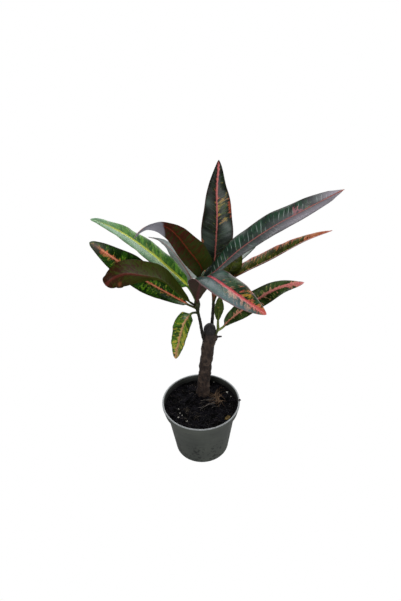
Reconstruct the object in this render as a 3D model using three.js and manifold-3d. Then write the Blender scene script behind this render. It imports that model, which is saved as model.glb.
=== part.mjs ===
// Potted croton: a small croton (Codiaeum) with a cut-back woody trunk, three shoots and
// long coloured leaves, standing in a round plastic nursery pot filled with soil.
//
// Units are millimetres. +Z is up, the origin is the centre of the pot's underside, and
// -Y is the side the plant is looked at from, so +X is its right.
//
// Driving dimensions: POT.rimDiameter and POT.height set the pot, SOIL.depthBelowRim the soil,
// TRUNK and SHOOTS the wood, and each entry of LEAVES one leaf by the run of its midrib.
// Everything else is worked out from them.

import * as THREE from "three";
import { mergeVertices } from "three/addons/utils/BufferGeometryUtils.js";
import Module from "manifold-3d";

const wasm = await Module();
wasm.setup();
const { Manifold, Mesh: SolidMesh } = wasm;

// Driving dimensions

const GAP = 0.3; // clearance between neighbouring pieces

const POT = {
  rimDiameter: 120,
  height: 98,
  wall: 1.5,
  lipHeight: 3.2, // the thicker bead round the opening
  lipWidth: 2.4,
  collarHeight: 14, // band under the opening, down to the step
  collarLowerRadius: 57.4,
  stepHeight: 1.2,
  bodyUpperRadius: 53.2, // just under the step
  baseRadius: 41,
  baseRounding: 3,
  floor: 3, // thickness of the bottom
  padRadius: 13, // flat disc in the middle of the underside
  footInnerRadius: 33,
  recess: 1.4, // depth between the pad and the foot ring
  drains: 8,
  drainRadius: 4,
  drainCircle: 24,
  sides: 48,
};

const SOIL = {
  depthBelowRim: 11,
  mound: 2.5, // how much higher it lies around the trunk
  moundRadius: 24,
  bump: 0.9, // crumbs and hollows
  rings: 9,
  innermostRing: 5,
  sides: 48,
};

// The trunk leans a little to the right and ends in a rounded, healed cut.
const TRUNK = {
  radius: 9.4,
  buried: 24, // length that stands in the soil's hole
  route: [
    [3, 26, 84],
    [5.2, 26.5, 112],
    [9, 27, 150],
    [13.3, 26.5, 186],
    [15.8, 26, 208],
    [17, 26, 231],
  ],
  knobRadius: 9.4,
  knobLength: 16,
  sides: 18,
  stations: 30,
};

// Short dead twig on the trunk's right shoulder.
const STUB = { route: [[20, 25, 205], [34, 22.5, 209]], radius: 1.7, tipRadius: 0.9 };

const SHOOTS = {
  shoot_left: {
    route: [[14, 25, 194], [7, 20, 208], [2.6, 18.5, 242], [-0.6, 17.5, 268], [-1, 17.5, 298]],
    radius: 2.5,
    tipRadius: 1.7,
  },
  shoot_right: {
    route: [[18, 29, 206], [19.8, 33, 224], [22.3, 33.5, 258], [22.6, 33.5, 282], [21, 33, 306]],
    radius: 2.6,
    tipRadius: 1.7,
  },
  shoot_small: {
    route: [[18, 25, 200], [24.5, 24.5, 211], [28, 25, 221], [29, 25.5, 229]],
    radius: 2.3,
    tipRadius: 1.6,
  },
};

// One leaf each. route: the midrib's run from the shoot's middle to the tip. stalk: how much of
// that run is bare petiole. width: across the widest place, which lies at the share widest of the
// blade. full: blunter below 0.7, slimmer above. roll: turn about the midrib, 0 has the upper side
// up, twist adds to it towards the tip and baseTurn near the base. fold: how steeply each half
// rises from the midrib, foldTip: the same at the tip where it differs. baseShare: how much of its
// outline's width a blade has at its base, tipReach: the share of it that narrows to a sharp tip.
// wave: rise and fall of the margin, waves: how many, ripple: the outline's own waviness.
const LEAVES = {
  leaf_top: {
    on: "shoot_right",
    route: [[21, 33.5, 296], [23.5, 40, 318], [26, 46, 336], [30, 63, 381], [31, 84, 421],
      [35, 105, 455]],
    stalk: 26, width: 46, widest: 0.35, full: 0.74, roll: 8, twist: 20, fold: 18,
    wave: 1.2, waves: 3, ripple: 0.03,
  },
  leaf_long_right: {
    on: "shoot_left",
    route: [[-1, 17.5, 294], [3, 18.5, 305], [12, 20, 318], [28, 22, 331], [61, 24, 364],
      [103, 24, 397], [143, 22, 423], [191, 18, 454]],
    stalk: 17, width: 37, widest: 0.5, full: 0.55, roll: 38, twist: 20, fold: 36,
    wave: 0.8, waves: 4, ripple: 0.02, tipReach: 0.08,
  },
  leaf_mid_right: {
    on: "shoot_right",
    route: [[22.3, 33.5, 262], [25, 31, 282], [38, 28, 303], [67, 24, 325], [101, 20, 347],
      [145, 16, 378], [180, 14, 395]],
    stalk: 10, width: 38, widest: 0.4, full: 0.72, roll: -7, twist: 0, fold: 24,
    wave: 0.6, waves: 2, ripple: 0.02,
  },
  leaf_low_right: {
    on: "shoot_small",
    route: [[28, 25, 219], [36, 25, 225], [46, 23, 240], [63, 20, 259], [87, 16, 284],
      [116, 12, 306], [147, 8, 315]],
    stalk: 11, width: 32, widest: 0.48, full: 0.72, roll: 56, twist: 25, fold: 30,
    wave: 0.8, waves: 3, ripple: 0.03,
  },
  leaf_front: {
    on: "shoot_left",
    route: [[-0.7, 17.5, 274], [0, 10, 291], [2, 4, 308], [7, -3, 330], [16, -12, 345],
      [37, -28, 340], [62, -45, 329], [89, -62, 318]],
    stalk: 10, width: 54, widest: 0.46, full: 0.7, roll: -6, twist: 34, baseTurn: -25, fold: 4,
    wave: 0.8, waves: 3, ripple: 0.02, baseShare: 0.4,
  },
  leaf_arching_left: {
    on: "shoot_left",
    route: [[-1, 17.5, 286], [-0.5, 12.5, 296], [1, 10.5, 309], [2, 10, 324], [6, 5, 348],
      [-10, -10, 388], [-26, -30, 428], [-40, -46, 450], [-54, -57, 457], [-65, -62, 453],
      [-73, -63, 443]],
    stalk: 52, width: 42, widest: 0.24, full: 0.8, roll: -108, twist: -30, fold: 30,
    wave: 1, waves: 3, ripple: 0.03,
  },
  leaf_thin_left: {
    on: "shoot_left",
    route: [[-0.8, 17.5, 286], [-2, 27, 291], [-5, 37, 299], [-15, 46, 317], [-31, 51, 343],
      [-48, 54, 360], [-65, 56, 366]],
    stalk: 20, width: 30, widest: 0.3, full: 0.8, roll: 80, twist: -60, fold: 10,
    wave: 0.6, waves: 3, ripple: 0.02,
  },
  leaf_green_left: {
    on: "shoot_left",
    route: [[-0.7, 17.5, 278], [-13, 18, 307], [-43, 21, 343], [-62, 23, 363], [-93, 25, 391],
      [-125, 27, 411], [-137, 28, 415]],
    stalk: 30, width: 33, widest: 0.36, full: 0.55, roll: -16, twist: 12, fold: 7,
    wave: 0.8, waves: 4, ripple: 0.02,
  },
  leaf_red_rib_left: {
    on: "shoot_left",
    route: [[-0.4, 17.5, 267], [-18, 14, 281], [-45, 10, 305], [-73, 4, 332], [-101, -2, 365],
      [-124, -6, 391], [-136, -8, 403]],
    stalk: 16, width: 43, widest: 0.5, full: 0.6, roll: -48, twist: -45, fold: 24,
    wave: 1, waves: 3, ripple: 0.03,
  },
  leaf_curled_left: {
    on: "shoot_left",
    route: [[-0.6, 17.5, 271], [-9, 10, 284], [-19, 2, 299.5], [-34, -7.5, 324.5], [-49, -16, 346],
      [-67, -24, 358], [-88, -33, 369], [-100, -38, 370], [-110, -42, 367], [-117, -45, 361]],
    stalk: 18, width: 51, widest: 0.68, full: 0.46, roll: 92, twist: 100, fold: 72, foldTip: 36,
    wave: 0.8, waves: 3, ripple: 0.02,
  },
  leaf_hanging: {
    on: "shoot_left",
    route: [[-0.2, 17.5, 259.5], [-5, 14, 263], [-11, 10, 263], [-20.5, 4, 250], [-29.5, 2, 217],
      [-36, 4, 185]],
    stalk: 13, width: 30, widest: 0.29, full: 0.55, roll: -40, twist: -8, fold: 15,
    wave: 0.6, waves: 3, ripple: 0.01,
  },
  leaf_small_upright: {
    on: "shoot_small",
    route: [[28.6, 25.3, 224], [28.5, 26, 230], [29, 26, 242], [30, 26, 257], [31, 26.5, 281]],
    stalk: 11, width: 15, widest: 0.55, full: 0.7, roll: 90, twist: 10, fold: 6,
    wave: 0.4, waves: 2, ripple: 0.02,
  },
  leaf_behind_right: {
    on: "shoot_right",
    route: [[22.6, 33.5, 266], [27, 42, 271], [36, 49, 288], [56, 60, 316], [79, 70, 339],
      [100, 76, 359], [117, 81, 373]],
    stalk: 20, width: 34, widest: 0.5, full: 0.5, roll: -8, twist: 40, fold: 14,
    wave: 0.8, waves: 3, ripple: 0.02,
  },
  leaf_short_right: {
    on: "shoot_right",
    route: [[22.4, 33.5, 284], [30, 30, 299], [45, 27, 324], [53, 29, 343], [57, 32, 358]],
    stalk: 33, width: 25, widest: 0.5, full: 0.62, roll: 70, twist: 12, fold: 6,
    wave: 0.6, waves: 2, ripple: 0.02,
  },
  // The next two stand at the back, hidden from the front.
  leaf_back: {
    on: "shoot_right",
    route: [[22, 33.4, 289], [22, 42, 294], [24, 52, 300], [26, 80, 313], [30, 112, 322],
      [34, 144, 323]],
    stalk: 22, width: 34, widest: 0.45, full: 0.7, roll: 0, twist: 10, fold: 14,
    wave: 1, waves: 3, ripple: 0.03,
  },
  leaf_back_left: {
    on: "shoot_left",
    route: [[-1, 17.5, 291], [2, 25, 298], [11.5, 33, 302], [12, 50, 308], [-2, 80, 317],
      [-17, 111, 321]],
    stalk: 22, width: 28, widest: 0.45, full: 0.7, roll: 0, twist: 10, fold: 14,
    wave: 0.8, waves: 3, ripple: 0.03,
  },
};

const LEAF = {
  stations: 16, // along the blade
  petioleRadius: 1.5,
  marginThickness: 0.8,
  ribThickness: 1.7,
  tipRibThickness: 1,
  leastHalfWidth: 0.7,
  opening: 0.07, // share of the blade over which the petiole opens out into it
  closing: 0.05, // share of the blade over which it flattens to its tip
  baseReach: 0.5, // share of the blade over which a narrowed base widens
  across: [-1, -0.5, 0, 0.5, 1], // share of the half width, from left margin to right
};

// Small helpers

const v = (p) => new THREE.Vector3(...p);
const degrees = (d) => (d * Math.PI) / 180;
const clamp01 = (x) => Math.min(1, Math.max(0, x));
const smooth = (x) => clamp01(x) ** 2 * (3 - 2 * clamp01(x));
const mix = (a, b, t) => a + (b - a) * t;

// A smooth curve through points, as closely spaced places with their distance from the start.
function curveThrough(points, perSpan = 24) {
  const curve = new THREE.CatmullRomCurve3(points.map(v), false, "catmullrom", 0.5);
  const steps = (points.length - 1) * perSpan;
  const run = curve.getLengths(steps);
  return { places: curve.getPoints(steps), run, length: run[steps] };
}

function pointAt(curve, distance) {
  const d = Math.min(Math.max(distance, 0), curve.length);
  let i = 1;
  while (i < curve.run.length - 1 && curve.run[i] < d) i++;
  const t = (d - curve.run[i - 1]) / (curve.run[i] - curve.run[i - 1]);
  return curve.places[i - 1].clone().lerp(curve.places[i], t);
}

// Directions along the curve, with one side direction carried from a chosen station both ways
// without turning about the curve.
function framesAlong(curve, distances, start, sideAtStart) {
  const step = curve.length * 0.01;
  const along = distances.map((d) =>
    pointAt(curve, d + step).sub(pointAt(curve, d - step)).normalize(),
  );
  const flatten = (n, t) => n.clone().addScaledVector(t, -n.dot(t)).normalize();
  const normal = [];
  normal[start] = flatten(sideAtStart(along[start]), along[start]);
  for (let i = start + 1; i < along.length; i++) normal[i] = flatten(normal[i - 1], along[i]);
  for (let i = start - 1; i >= 0; i--) normal[i] = flatten(normal[i + 1], along[i]);
  return { along, normal };
}

// A solid from a closed geometry, whichever way its faces were wound.
function solidOf(geometry) {
  geometry.deleteAttribute("normal");
  geometry.deleteAttribute("uv");
  const merged = mergeVertices(geometry);
  const corners = merged.index.array;
  const make = () =>
    new Manifold(
      new SolidMesh({
        numProp: 3,
        vertProperties: merged.attributes.position.array,
        triVerts: new Uint32Array(corners),
      }),
    );
  const solid = make();
  if (solid.volume() > 0) return solid;
  for (let i = 0; i < corners.length; i += 3) {
    [corners[i + 1], corners[i + 2]] = [corners[i + 2], corners[i + 1]];
  }
  return make();
}

// A closed solid from rings of points, each ring running the same way round. A blade's second
// half ring is its other face: there each quad is split along the same diagonal as on the first,
// so that the two faces of a waved blade never cross.
function solidFromRings(rings, blade = false) {
  const n = rings[0].length;
  const triangles = [];
  for (let i = 0; i < rings.length - 1; i++) {
    for (let k = 0; k < n; k++) {
      const next = (k + 1) % n;
      const [a, b, c, d] = [i * n + k, i * n + next, (i + 1) * n + k, (i + 1) * n + next];
      if (blade && k >= n / 2) triangles.push(a, b, c, b, d, c);
      else triangles.push(a, b, d, a, d, c);
    }
  }
  for (let k = 1; k < n - 1; k++) triangles.push(0, k + 1, k);
  const top = (rings.length - 1) * n;
  for (let k = 1; k < n - 1; k++) triangles.push(top, top + k, top + k + 1);
  const geometry = new THREE.BufferGeometry().setFromPoints(rings.flat());
  geometry.setIndex(triangles);
  return solidOf(geometry);
}

// An upright round bar between two heights.
function bar(radius, bottom, top, [x, y], sides) {
  const geometry = new THREE.CylinderGeometry(radius, radius, top - bottom, sides);
  geometry.rotateX(Math.PI / 2);
  geometry.translate(x, y, (bottom + top) / 2);
  return solidOf(geometry);
}

function largestBody(solid) {
  return solid.decompose().reduce((best, body) => (body.volume() > best.volume() ? body : best));
}

function toMesh(name, solid, colour, roughness) {
  const m = solid.getMesh();
  const positions = new Float32Array(m.numVert * 3);
  for (let i = 0; i < m.numVert; i++) {
    for (let k = 0; k < 3; k++) positions[i * 3 + k] = m.vertProperties[i * m.numProp + k];
  }
  const geometry = new THREE.BufferGeometry();
  geometry.setAttribute("position", new THREE.BufferAttribute(positions, 3));
  geometry.setIndex(new THREE.BufferAttribute(new Uint32Array(m.triVerts), 1));
  geometry.computeVertexNormals();
  const mesh = new THREE.Mesh(
    geometry,
    new THREE.MeshStandardMaterial({ color: colour, roughness }),
  );
  mesh.name = name;
  return mesh;
}

// Pot

const rimRadius = POT.rimDiameter / 2;
const lipInner = rimRadius - POT.lipWidth;
const lipBottom = POT.height - POT.lipHeight;
const collarBottom = POT.height - POT.collarHeight;
const slope = (POT.bodyUpperRadius - POT.baseRadius) / (collarBottom - POT.stepHeight);
const bodyRadius = (z) => POT.baseRadius + slope * z;

// The collar widens from the step up to just inside the bead.
function collarRadius(z) {
  const t = (z - collarBottom) / (lipBottom - collarBottom);
  return mix(POT.collarLowerRadius, rimRadius - 0.6, t);
}

// Inner wall's radius at a height, which the soil follows too.
function innerRadius(z) {
  if (z >= collarBottom + POT.wall) return collarRadius(z) - POT.wall;
  if (z >= collarBottom) {
    const t = (z - collarBottom) / POT.wall;
    return mix(bodyRadius(collarBottom) - POT.wall, collarRadius(z) - POT.wall, t);
  }
  return bodyRadius(z) - POT.wall;
}

// The pot is turned about its axis; its outline runs from the underside's middle, up the
// outside, over the bead and down the inside to the middle of the floor.
function pot() {
  const outline = [
    [0, 0],
    [POT.padRadius, 0],
    [POT.padRadius + 1, POT.recess],
    [POT.footInnerRadius - 1, POT.recess],
    [POT.footInnerRadius, 0],
    [POT.baseRadius - POT.baseRounding, 0],
    [POT.baseRadius - POT.baseRounding * 0.3, POT.baseRounding * 0.3],
    [bodyRadius(POT.baseRounding), POT.baseRounding],
    [POT.bodyUpperRadius, collarBottom - POT.stepHeight],
    [POT.collarLowerRadius, collarBottom],
    [collarRadius(lipBottom) - 0.1, lipBottom - 0.4],
    [rimRadius, lipBottom + 0.6],
    [rimRadius, POT.height - 0.9],
    [rimRadius - 0.8, POT.height],
    [lipInner + 0.6, POT.height],
    [lipInner - 0.1, POT.height - 0.8],
    [innerRadius(lipBottom), lipBottom],
    [innerRadius(collarBottom + POT.wall), collarBottom + POT.wall],
    [innerRadius(collarBottom), collarBottom],
    [innerRadius(POT.floor + 2), POT.floor + 2],
    [innerRadius(POT.floor) - 2, POT.floor],
    [0, POT.floor],
  ];
  const points = outline.map(([r, z]) => new THREE.Vector2(r, z));
  const shell = new THREE.LatheGeometry(points, POT.sides);
  shell.rotateX(Math.PI / 2);
  let body = solidOf(shell);
  for (let i = 0; i < POT.drains; i++) {
    const a = (2 * Math.PI * (i + 0.5)) / POT.drains;
    const at = [POT.drainCircle * Math.cos(a), POT.drainCircle * Math.sin(a)];
    body = body.subtract(bar(POT.drainRadius, -1, POT.floor + 1, at, 14));
  }
  return body;
}

// Soil

const trunkCurve = curveThrough(TRUNK.route);
const trunkFoot = v(TRUNK.route[0]);
const soilLevel = POT.height - SOIL.depthBelowRim;

// The top lies higher round the trunk and is uneven with crumbs and hollows, less so at the wall.
function soilTop(x, y) {
  const fromTrunk = Math.hypot(x - trunkFoot.x, y - trunkFoot.y);
  const atWall = smooth((Math.hypot(x, y) - 42) / 12);
  const crumbs =
    Math.sin(x * 0.31 + y * 0.17) * Math.cos(y * 0.27 - x * 0.11) +
    0.6 * Math.sin(x * 0.63 - y * 0.41 + 1.3) +
    0.4 * Math.cos(y * 0.77 + x * 0.52);
  const mound = SOIL.mound * Math.exp(-((fromTrunk / SOIL.moundRadius) ** 2));
  return soilLevel + mound + SOIL.bump * crumbs * mix(1, 0.25, atWall) - 0.3 * atWall;
}

// The soil fills the pot up past the step, with a plain round hole for the buried trunk.
function soil() {
  const floorRadius = innerRadius(POT.floor) - 2 - GAP;
  const belowStep = collarBottom + GAP;
  const aboveStep = collarBottom + POT.wall + GAP;
  const edge = innerRadius(soilLevel) - GAP - 0.1;
  const rings = [
    circle(floorRadius, () => POT.floor + GAP, SOIL.sides),
    circle(innerRadius(POT.floor + 2) - GAP, () => POT.floor + 2 + GAP, SOIL.sides),
    circle(innerRadius(collarBottom) - GAP - 0.1, () => belowStep, SOIL.sides),
    circle(innerRadius(aboveStep) - GAP, () => aboveStep, SOIL.sides),
  ];
  for (let i = 0; i < SOIL.rings; i++) {
    rings.push(circle(mix(edge, SOIL.innermostRing, i / (SOIL.rings - 1)), soilTop, SOIL.sides));
  }
  const hole = limb(trunkCurve, (d) => trunkRadius(d) + GAP, TRUNK.sides, 12, 0, 40);
  const bottom = trunkFoot.z - TRUNK.buried;
  const well = bar(TRUNK.radius + 2 * GAP, bottom - 1, trunkFoot.z + 2, trunkFoot.toArray(), 24);
  return largestBody(solidFromRings(rings).subtract(well).subtract(hole));
}

function circle(radius, height, sides) {
  const ring = [];
  for (let s = 0; s < sides; s++) {
    const a = (2 * Math.PI * s) / sides;
    const x = radius * Math.cos(a);
    const y = radius * Math.sin(a);
    ring.push(new THREE.Vector3(x, y, height(x, y)));
  }
  return ring;
}

// Trunk and shoots

// A round limb along a curve; radius is given for the distance run and the angle round it.
function limb(curve, radius, sides, stations, from = 0, to = curve.length) {
  const distances = [];
  for (let i = 0; i < stations; i++) distances.push(mix(from, to, i / (stations - 1)));
  const { along, normal } = framesAlong(curve, distances, 0, () => new THREE.Vector3(0, -1, 0));
  const rings = distances.map((d, i) => {
    const centre = pointAt(curve, d);
    const side = new THREE.Vector3().crossVectors(along[i], normal[i]);
    const ring = [];
    for (let s = 0; s < sides; s++) {
      const a = (2 * Math.PI * s) / sides;
      const r = radius(d, a);
      ring.push(
        centre
          .clone()
          .addScaledVector(normal[i], r * Math.cos(a))
          .addScaledVector(side, r * Math.sin(a)),
      );
    }
    return ring;
  });
  return solidFromRings(rings);
}

// Bark swells at the old leaf scars, at the shoulders where the shoots leave, and the top is
// rounded over the healed cut.
function trunkRadius(d, angle = 0) {
  const toTop = trunkCurve.length - d;
  const scars = 0.35 * Math.sin(d * 0.42 + 1) * Math.cos(angle * 2 + d * 0.05);
  const knots = 0.3 * Math.sin(d * 0.19 + angle * 3);
  const sideways = 0.5 + 0.5 * Math.abs(Math.sin(angle));
  const shoulder = 2.2 * Math.exp(-(((toTop - 25) / 5) ** 2)) * sideways;
  const neck = -Math.exp(-(((toTop - 15.5) / 2.6) ** 2));
  let r = TRUNK.radius + scars + knots + shoulder + neck;
  if (toTop < TRUNK.knobLength) {
    const t = toTop / TRUNK.knobLength;
    const dome = TRUNK.knobRadius * Math.sqrt(Math.max(0, 1 - (1 - t) ** 2.4));
    r = mix(dome, r, smooth((t - 0.55) / 0.45));
  }
  return Math.max(r, 1.2);
}

function trunk(extra = 0) {
  const wood = limb(trunkCurve, (d, a) => trunkRadius(d, a) + extra, TRUNK.sides, TRUNK.stations);
  const stub = curveThrough(STUB.route);
  const stubRadius = (d) => mix(STUB.radius, STUB.tipRadius, d / stub.length) + extra;
  const bottom = trunkFoot.z - TRUNK.buried;
  const buried = bar(TRUNK.radius - 0.2, bottom, trunkFoot.z + 2, trunkFoot.toArray(), TRUNK.sides);
  return wood.add(limb(stub, stubRadius, 8, 4)).add(buried);
}

function shootRadius(shoot, curve, d) {
  const swelling = 0.22 * Math.max(0, Math.sin(d * 0.7));
  return mix(shoot.radius, shoot.tipRadius, d / curve.length) + swelling;
}

function shoot(name, extra = 0) {
  const s = SHOOTS[name];
  const curve = curveThrough(s.route);
  const rounded = (d) => {
    const toTip = curve.length - d;
    const bud = toTip < 5 ? Math.sqrt(Math.max(0.02, toTip / 5)) : 1;
    return shootRadius(s, curve, d) * bud + extra;
  };
  return limb(curve, rounded, 10, 26);
}

// Leaves

// Half the blade's width at a share t of its length.
function halfWidth(leaf, t, side) {
  const power = Math.log(0.5) / Math.log(leaf.widest);
  const outline = Math.sin(Math.PI * clamp01(t) ** power) ** leaf.full;
  const ripple = 1 + leaf.ripple * Math.sin(2 * Math.PI * (leaf.waves * t + (side > 0 ? 0.3 : 0)));
  const base = mix(leaf.baseShare ?? 1, 1, smooth(t / LEAF.baseReach));
  const tip = clamp01((1 - t) / (leaf.tipReach ?? 0.001)) ** 0.5;
  return (leaf.width / 2) * outline * ripple * base * tip;
}

function marginWave(leaf, t, u) {
  const turn = 2 * Math.PI * (leaf.waves * t + (u > 0 ? 0.25 : 0));
  return leaf.wave * u * u * Math.sin(turn) * Math.sin(Math.PI * t);
}

// The upper side's direction in the middle of a blade: straight up, turned by the leaf's roll.
function upperSide(leaf, along) {
  const up = new THREE.Vector3(0, 0, 1);
  const normal = up.clone().addScaledVector(along, -up.dot(along)).normalize();
  return normal.applyAxisAngle(along, degrees(leaf.roll));
}

// Rings of ten points along the leaf: a round petiole that opens out into the folded blade.
function leafSolid(leaf) {
  const curve = curveThrough(leaf.route);
  const distances = [0, leaf.stalk * 0.4, leaf.stalk * 0.8];
  const middle = distances.length + LEAF.stations / 2;
  for (let i = 0; i < LEAF.stations; i++) {
    distances.push(mix(leaf.stalk, curve.length, i / (LEAF.stations - 1)));
  }
  const { along, normal } = framesAlong(curve, distances, middle, (t) => upperSide(leaf, t));
  const rings = distances.map((d, i) => {
    const t = clamp01((d - leaf.stalk) / (curve.length - leaf.stalk));
    const turn = leaf.twist * (t - 0.5) + (leaf.baseTurn ?? 0) * (1 - t) ** 4;
    const n = normal[i].clone().applyAxisAngle(along[i], degrees(turn));
    const right = new THREE.Vector3().crossVectors(along[i], n);
    const flat = smooth(t / LEAF.opening);
    const closing = smooth((1 - t) / LEAF.closing);
    const fold = degrees(mix(leaf.fold, leaf.foldTip ?? leaf.fold, t)) * closing;
    const rib = mix(LEAF.ribThickness, LEAF.tipRibThickness, t);
    // A place on the upper (1) or lower (-1) face, the thickness square to each half.
    const at = (u, face) => {
      const half = Math.max(halfWidth(leaf, t, u), LEAF.leastHalfWidth);
      const thickness = mix(rib, LEAF.marginThickness, Math.abs(u) ** 0.7);
      const out = half * u * Math.cos(fold);
      const rise = half * Math.abs(u) * Math.sin(fold) + marginWave(leaf, t, u);
      const lean = (thickness / 2) * Math.sin(fold);
      const shift = face > 0 ? -Math.min(lean, 0.8 * Math.abs(out)) : lean;
      const angle = Math.PI / 2 - u * degrees(72);
      const round = [LEAF.petioleRadius * Math.cos(angle), LEAF.petioleRadius * Math.sin(angle)];
      const x = mix(round[0], out + Math.sign(u) * shift, flat);
      const z = mix(round[1] * face, rise + (thickness / 2) * Math.cos(fold) * face, flat);
      return pointAt(curve, d).addScaledVector(right, x).addScaledVector(n, z);
    };
    const upper = LEAF.across.map((u) => at(u, 1));
    const lower = LEAF.across.map((u) => at(u, -1));
    return [...upper, ...lower.reverse()];
  });
  return solidFromRings(rings, true);
}

// Assembly

const WOOD = { trunk: 0x5a4a40, shoot_left: 0x26281f, shoot_right: 0x1f211b, shoot_small: 0x4c5a2a };
const LEAF_COLOURS = {
  leaf_top: 0x26402c,
  leaf_long_right: 0x2c443c,
  leaf_mid_right: 0x5a5a24,
  leaf_low_right: 0x33502e,
  leaf_front: 0x4a6060,
  leaf_arching_left: 0x3c2a1e,
  leaf_thin_left: 0x7f9090,
  leaf_green_left: 0x5f8f52,
  leaf_red_rib_left: 0x2c4a26,
  leaf_curled_left: 0x3a2a24,
  leaf_hanging: 0x5c8a2e,
  leaf_small_upright: 0x47602a,
  leaf_behind_right: 0x5a7460,
  leaf_short_right: 0x39441c,
  leaf_back: 0x35502a,
  leaf_back_left: 0x4c5a26,
};

const group = new THREE.Group();
group.name = "potted_croton";
group.add(toMesh("pot", pot(), 0x454a48, 0.6));
group.add(toMesh("soil", soil(), 0x1c1815, 0.95));
group.add(toMesh("trunk", trunk(), WOOD.trunk, 0.85));

const grownTrunk = trunk(GAP);
const grownShoots = {};
for (const name of Object.keys(SHOOTS)) {
  grownShoots[name] = shoot(name, GAP);
  group.add(toMesh(name, largestBody(shoot(name).subtract(grownTrunk)), WOOD[name], 0.6));
}

for (const [name, leaf] of Object.entries(LEAVES)) {
  const cut = largestBody(leafSolid(leaf).subtract(grownShoots[leaf.on]));
  group.add(toMesh(name, cut, LEAF_COLOURS[name], 0.4));
}

export default group;
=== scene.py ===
# Potted croton: the finished surfaces, lights and camera round the fixed model.
#
# Lengths are millimetres unless a name says otherwise, and new_mesh turns points to metres.
# +Z is up, the origin is the centre of the pot's underside, and -Y is the side the plant is
# looked at from. The midribs, shoots, trunk and pot repeat the model's own dimensions.
# Colours are written as they look on a screen, in hexadecimal.

import math
from types import SimpleNamespace

import bmesh
import bpy
import numpy as np
from mathutils import Matrix, Vector


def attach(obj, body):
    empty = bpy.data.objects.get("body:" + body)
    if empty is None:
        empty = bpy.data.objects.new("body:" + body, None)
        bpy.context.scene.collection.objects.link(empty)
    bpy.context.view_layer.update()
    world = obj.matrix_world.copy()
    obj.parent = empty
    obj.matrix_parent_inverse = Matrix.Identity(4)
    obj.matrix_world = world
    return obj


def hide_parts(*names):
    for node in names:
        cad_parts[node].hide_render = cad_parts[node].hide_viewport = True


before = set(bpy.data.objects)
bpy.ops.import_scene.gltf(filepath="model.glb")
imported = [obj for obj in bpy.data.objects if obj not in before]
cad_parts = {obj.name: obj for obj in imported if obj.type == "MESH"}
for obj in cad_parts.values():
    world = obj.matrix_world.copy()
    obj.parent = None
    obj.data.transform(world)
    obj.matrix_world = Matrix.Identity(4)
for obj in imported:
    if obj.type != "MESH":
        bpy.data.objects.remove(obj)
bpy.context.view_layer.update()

METRES_PER_MM = 0.001

# Camera and lights

CAMERA = {"place": (4.1, -813, 940), "look_down": 38.4, "roll": 1.8, "lens": 45, "sensor": 36}
CLIP = (0.01, 200)  # metres

# Soft boxes. azimuth is from +Y towards +X, size is width and height, all in metres and watts.
AIM = (0, 0, 0.28)
SOFT_BOXES = {
    "backdrop": dict(azimuth=9, elevation=21, distance=1.6, size=(4.2, 1.9), watts=78),
    "front_left": dict(azimuth=-152, elevation=34, distance=1.4, size=(0.7, 0.7), watts=9),
    "right": dict(azimuth=121, elevation=8, distance=1.4, size=(0.5, 0.9), watts=4),
    "low_front": dict(azimuth=180, elevation=-18, distance=0.7, size=(0.5, 0.1), watts=0.7),
}
WORLD_STRENGTH = 0.15
FLOOR_SIZE = 6000
FLOOR_DROP = 0.4  # how far the floor lies under the pot
FLOOR_COLOUR = "9a9a9a"

# Pot, repeating the model

POT = {
    "rim_radius": 60,
    "height": 98,
    "wall": 1.5,
    "lip_height": 3.2,
    "lip_width": 2.4,
    "collar_height": 14,
    "collar_lower_radius": 57.4,
    "step_height": 1.2,
    "body_upper_radius": 53.2,
    "base_radius": 41,
    "base_rounding": 3,
    "floor": 3,
    "pad_radius": 13,
    "foot_inner_radius": 33,
    "recess": 1.4,
    "drains": 8,
    "drain_radius": 4,
    "drain_circle": 24,
    "corner_rounding": 0.9,
    "sides": 192,
}
COLLAR_BOTTOM = POT["height"] - POT["collar_height"]
LIP_BOTTOM = POT["height"] - POT["lip_height"]
BODY_SLOPE = (POT["body_upper_radius"] - POT["base_radius"]) / (COLLAR_BOTTOM - POT["step_height"])

SOIL = {"level": 87, "mound": 2.5, "mound_radius": 24, "bump": 0.9, "cells": 230, "wall_gap": 0.15}
SOIL_REACH = 54  # loose bits stay this near to the pot's axis
TRUNK_CLEARANCE = 10  # and this far from the trunk's middle
TRUNK_FOOT = (2, 26)

TRUNK = {
    "radius": 9.4,
    "route": [(3, 26, 84), (5.2, 26.5, 112), (9, 27, 150), (13.3, 26.5, 186), (15.8, 26, 208),
              (17, 26, 231)],
    "knob_radius": 9.4,
    "knob_length": 16,
    "sides": 120,
    "stations": 230,
    "knob_stations": 70,
}
STUB = {"route": [(20, 25, 205), (27, 23.6, 207.5), (34, 22.5, 209)], "radius": 2, "tip": 1.2}

# Leaf scars up a stem of a radius. Each one is turned on about the stem from the one before it.
SCAR_TURN = 2.4
TRUNK_SCARS = dict(count=11, first=12, spacing=12.5, turn=0.7, radius=9, width=4.6, height=2.5)
SHOOT_SCARS = dict(count=7, first=22, spacing=9.5, turn=0, radius=2.2, width=1.5, height=1.2)

SHOOTS = {
    "shoot_left": dict(
        route=[(14, 25, 194), (7, 20, 208), (2.6, 18.5, 242), (-0.6, 17.5, 268), (-1, 17.5, 298)],
        radius=2.5, tip=1.7, bark="1d1a17", young="343c1c", swell=2.6),
    "shoot_right": dict(
        route=[(18, 29, 206), (19.8, 33, 224), (22.3, 33.5, 258), (22.6, 33.5, 282), (21, 33, 306)],
        radius=2.6, tip=1.7, bark="191614", young="241c16", swell=0.5),
    "shoot_small": dict(
        route=[(18, 25, 200), (24.5, 24.5, 211), (28, 25, 221), (29, 25.5, 229)],
        radius=2.3, tip=1.6, bark="353a1c", young="5a6630", swell=0.2),
}
SHOOT = {"stations": 130, "tip_stations": 20, "tip_length": 5, "sides": 28}

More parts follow.
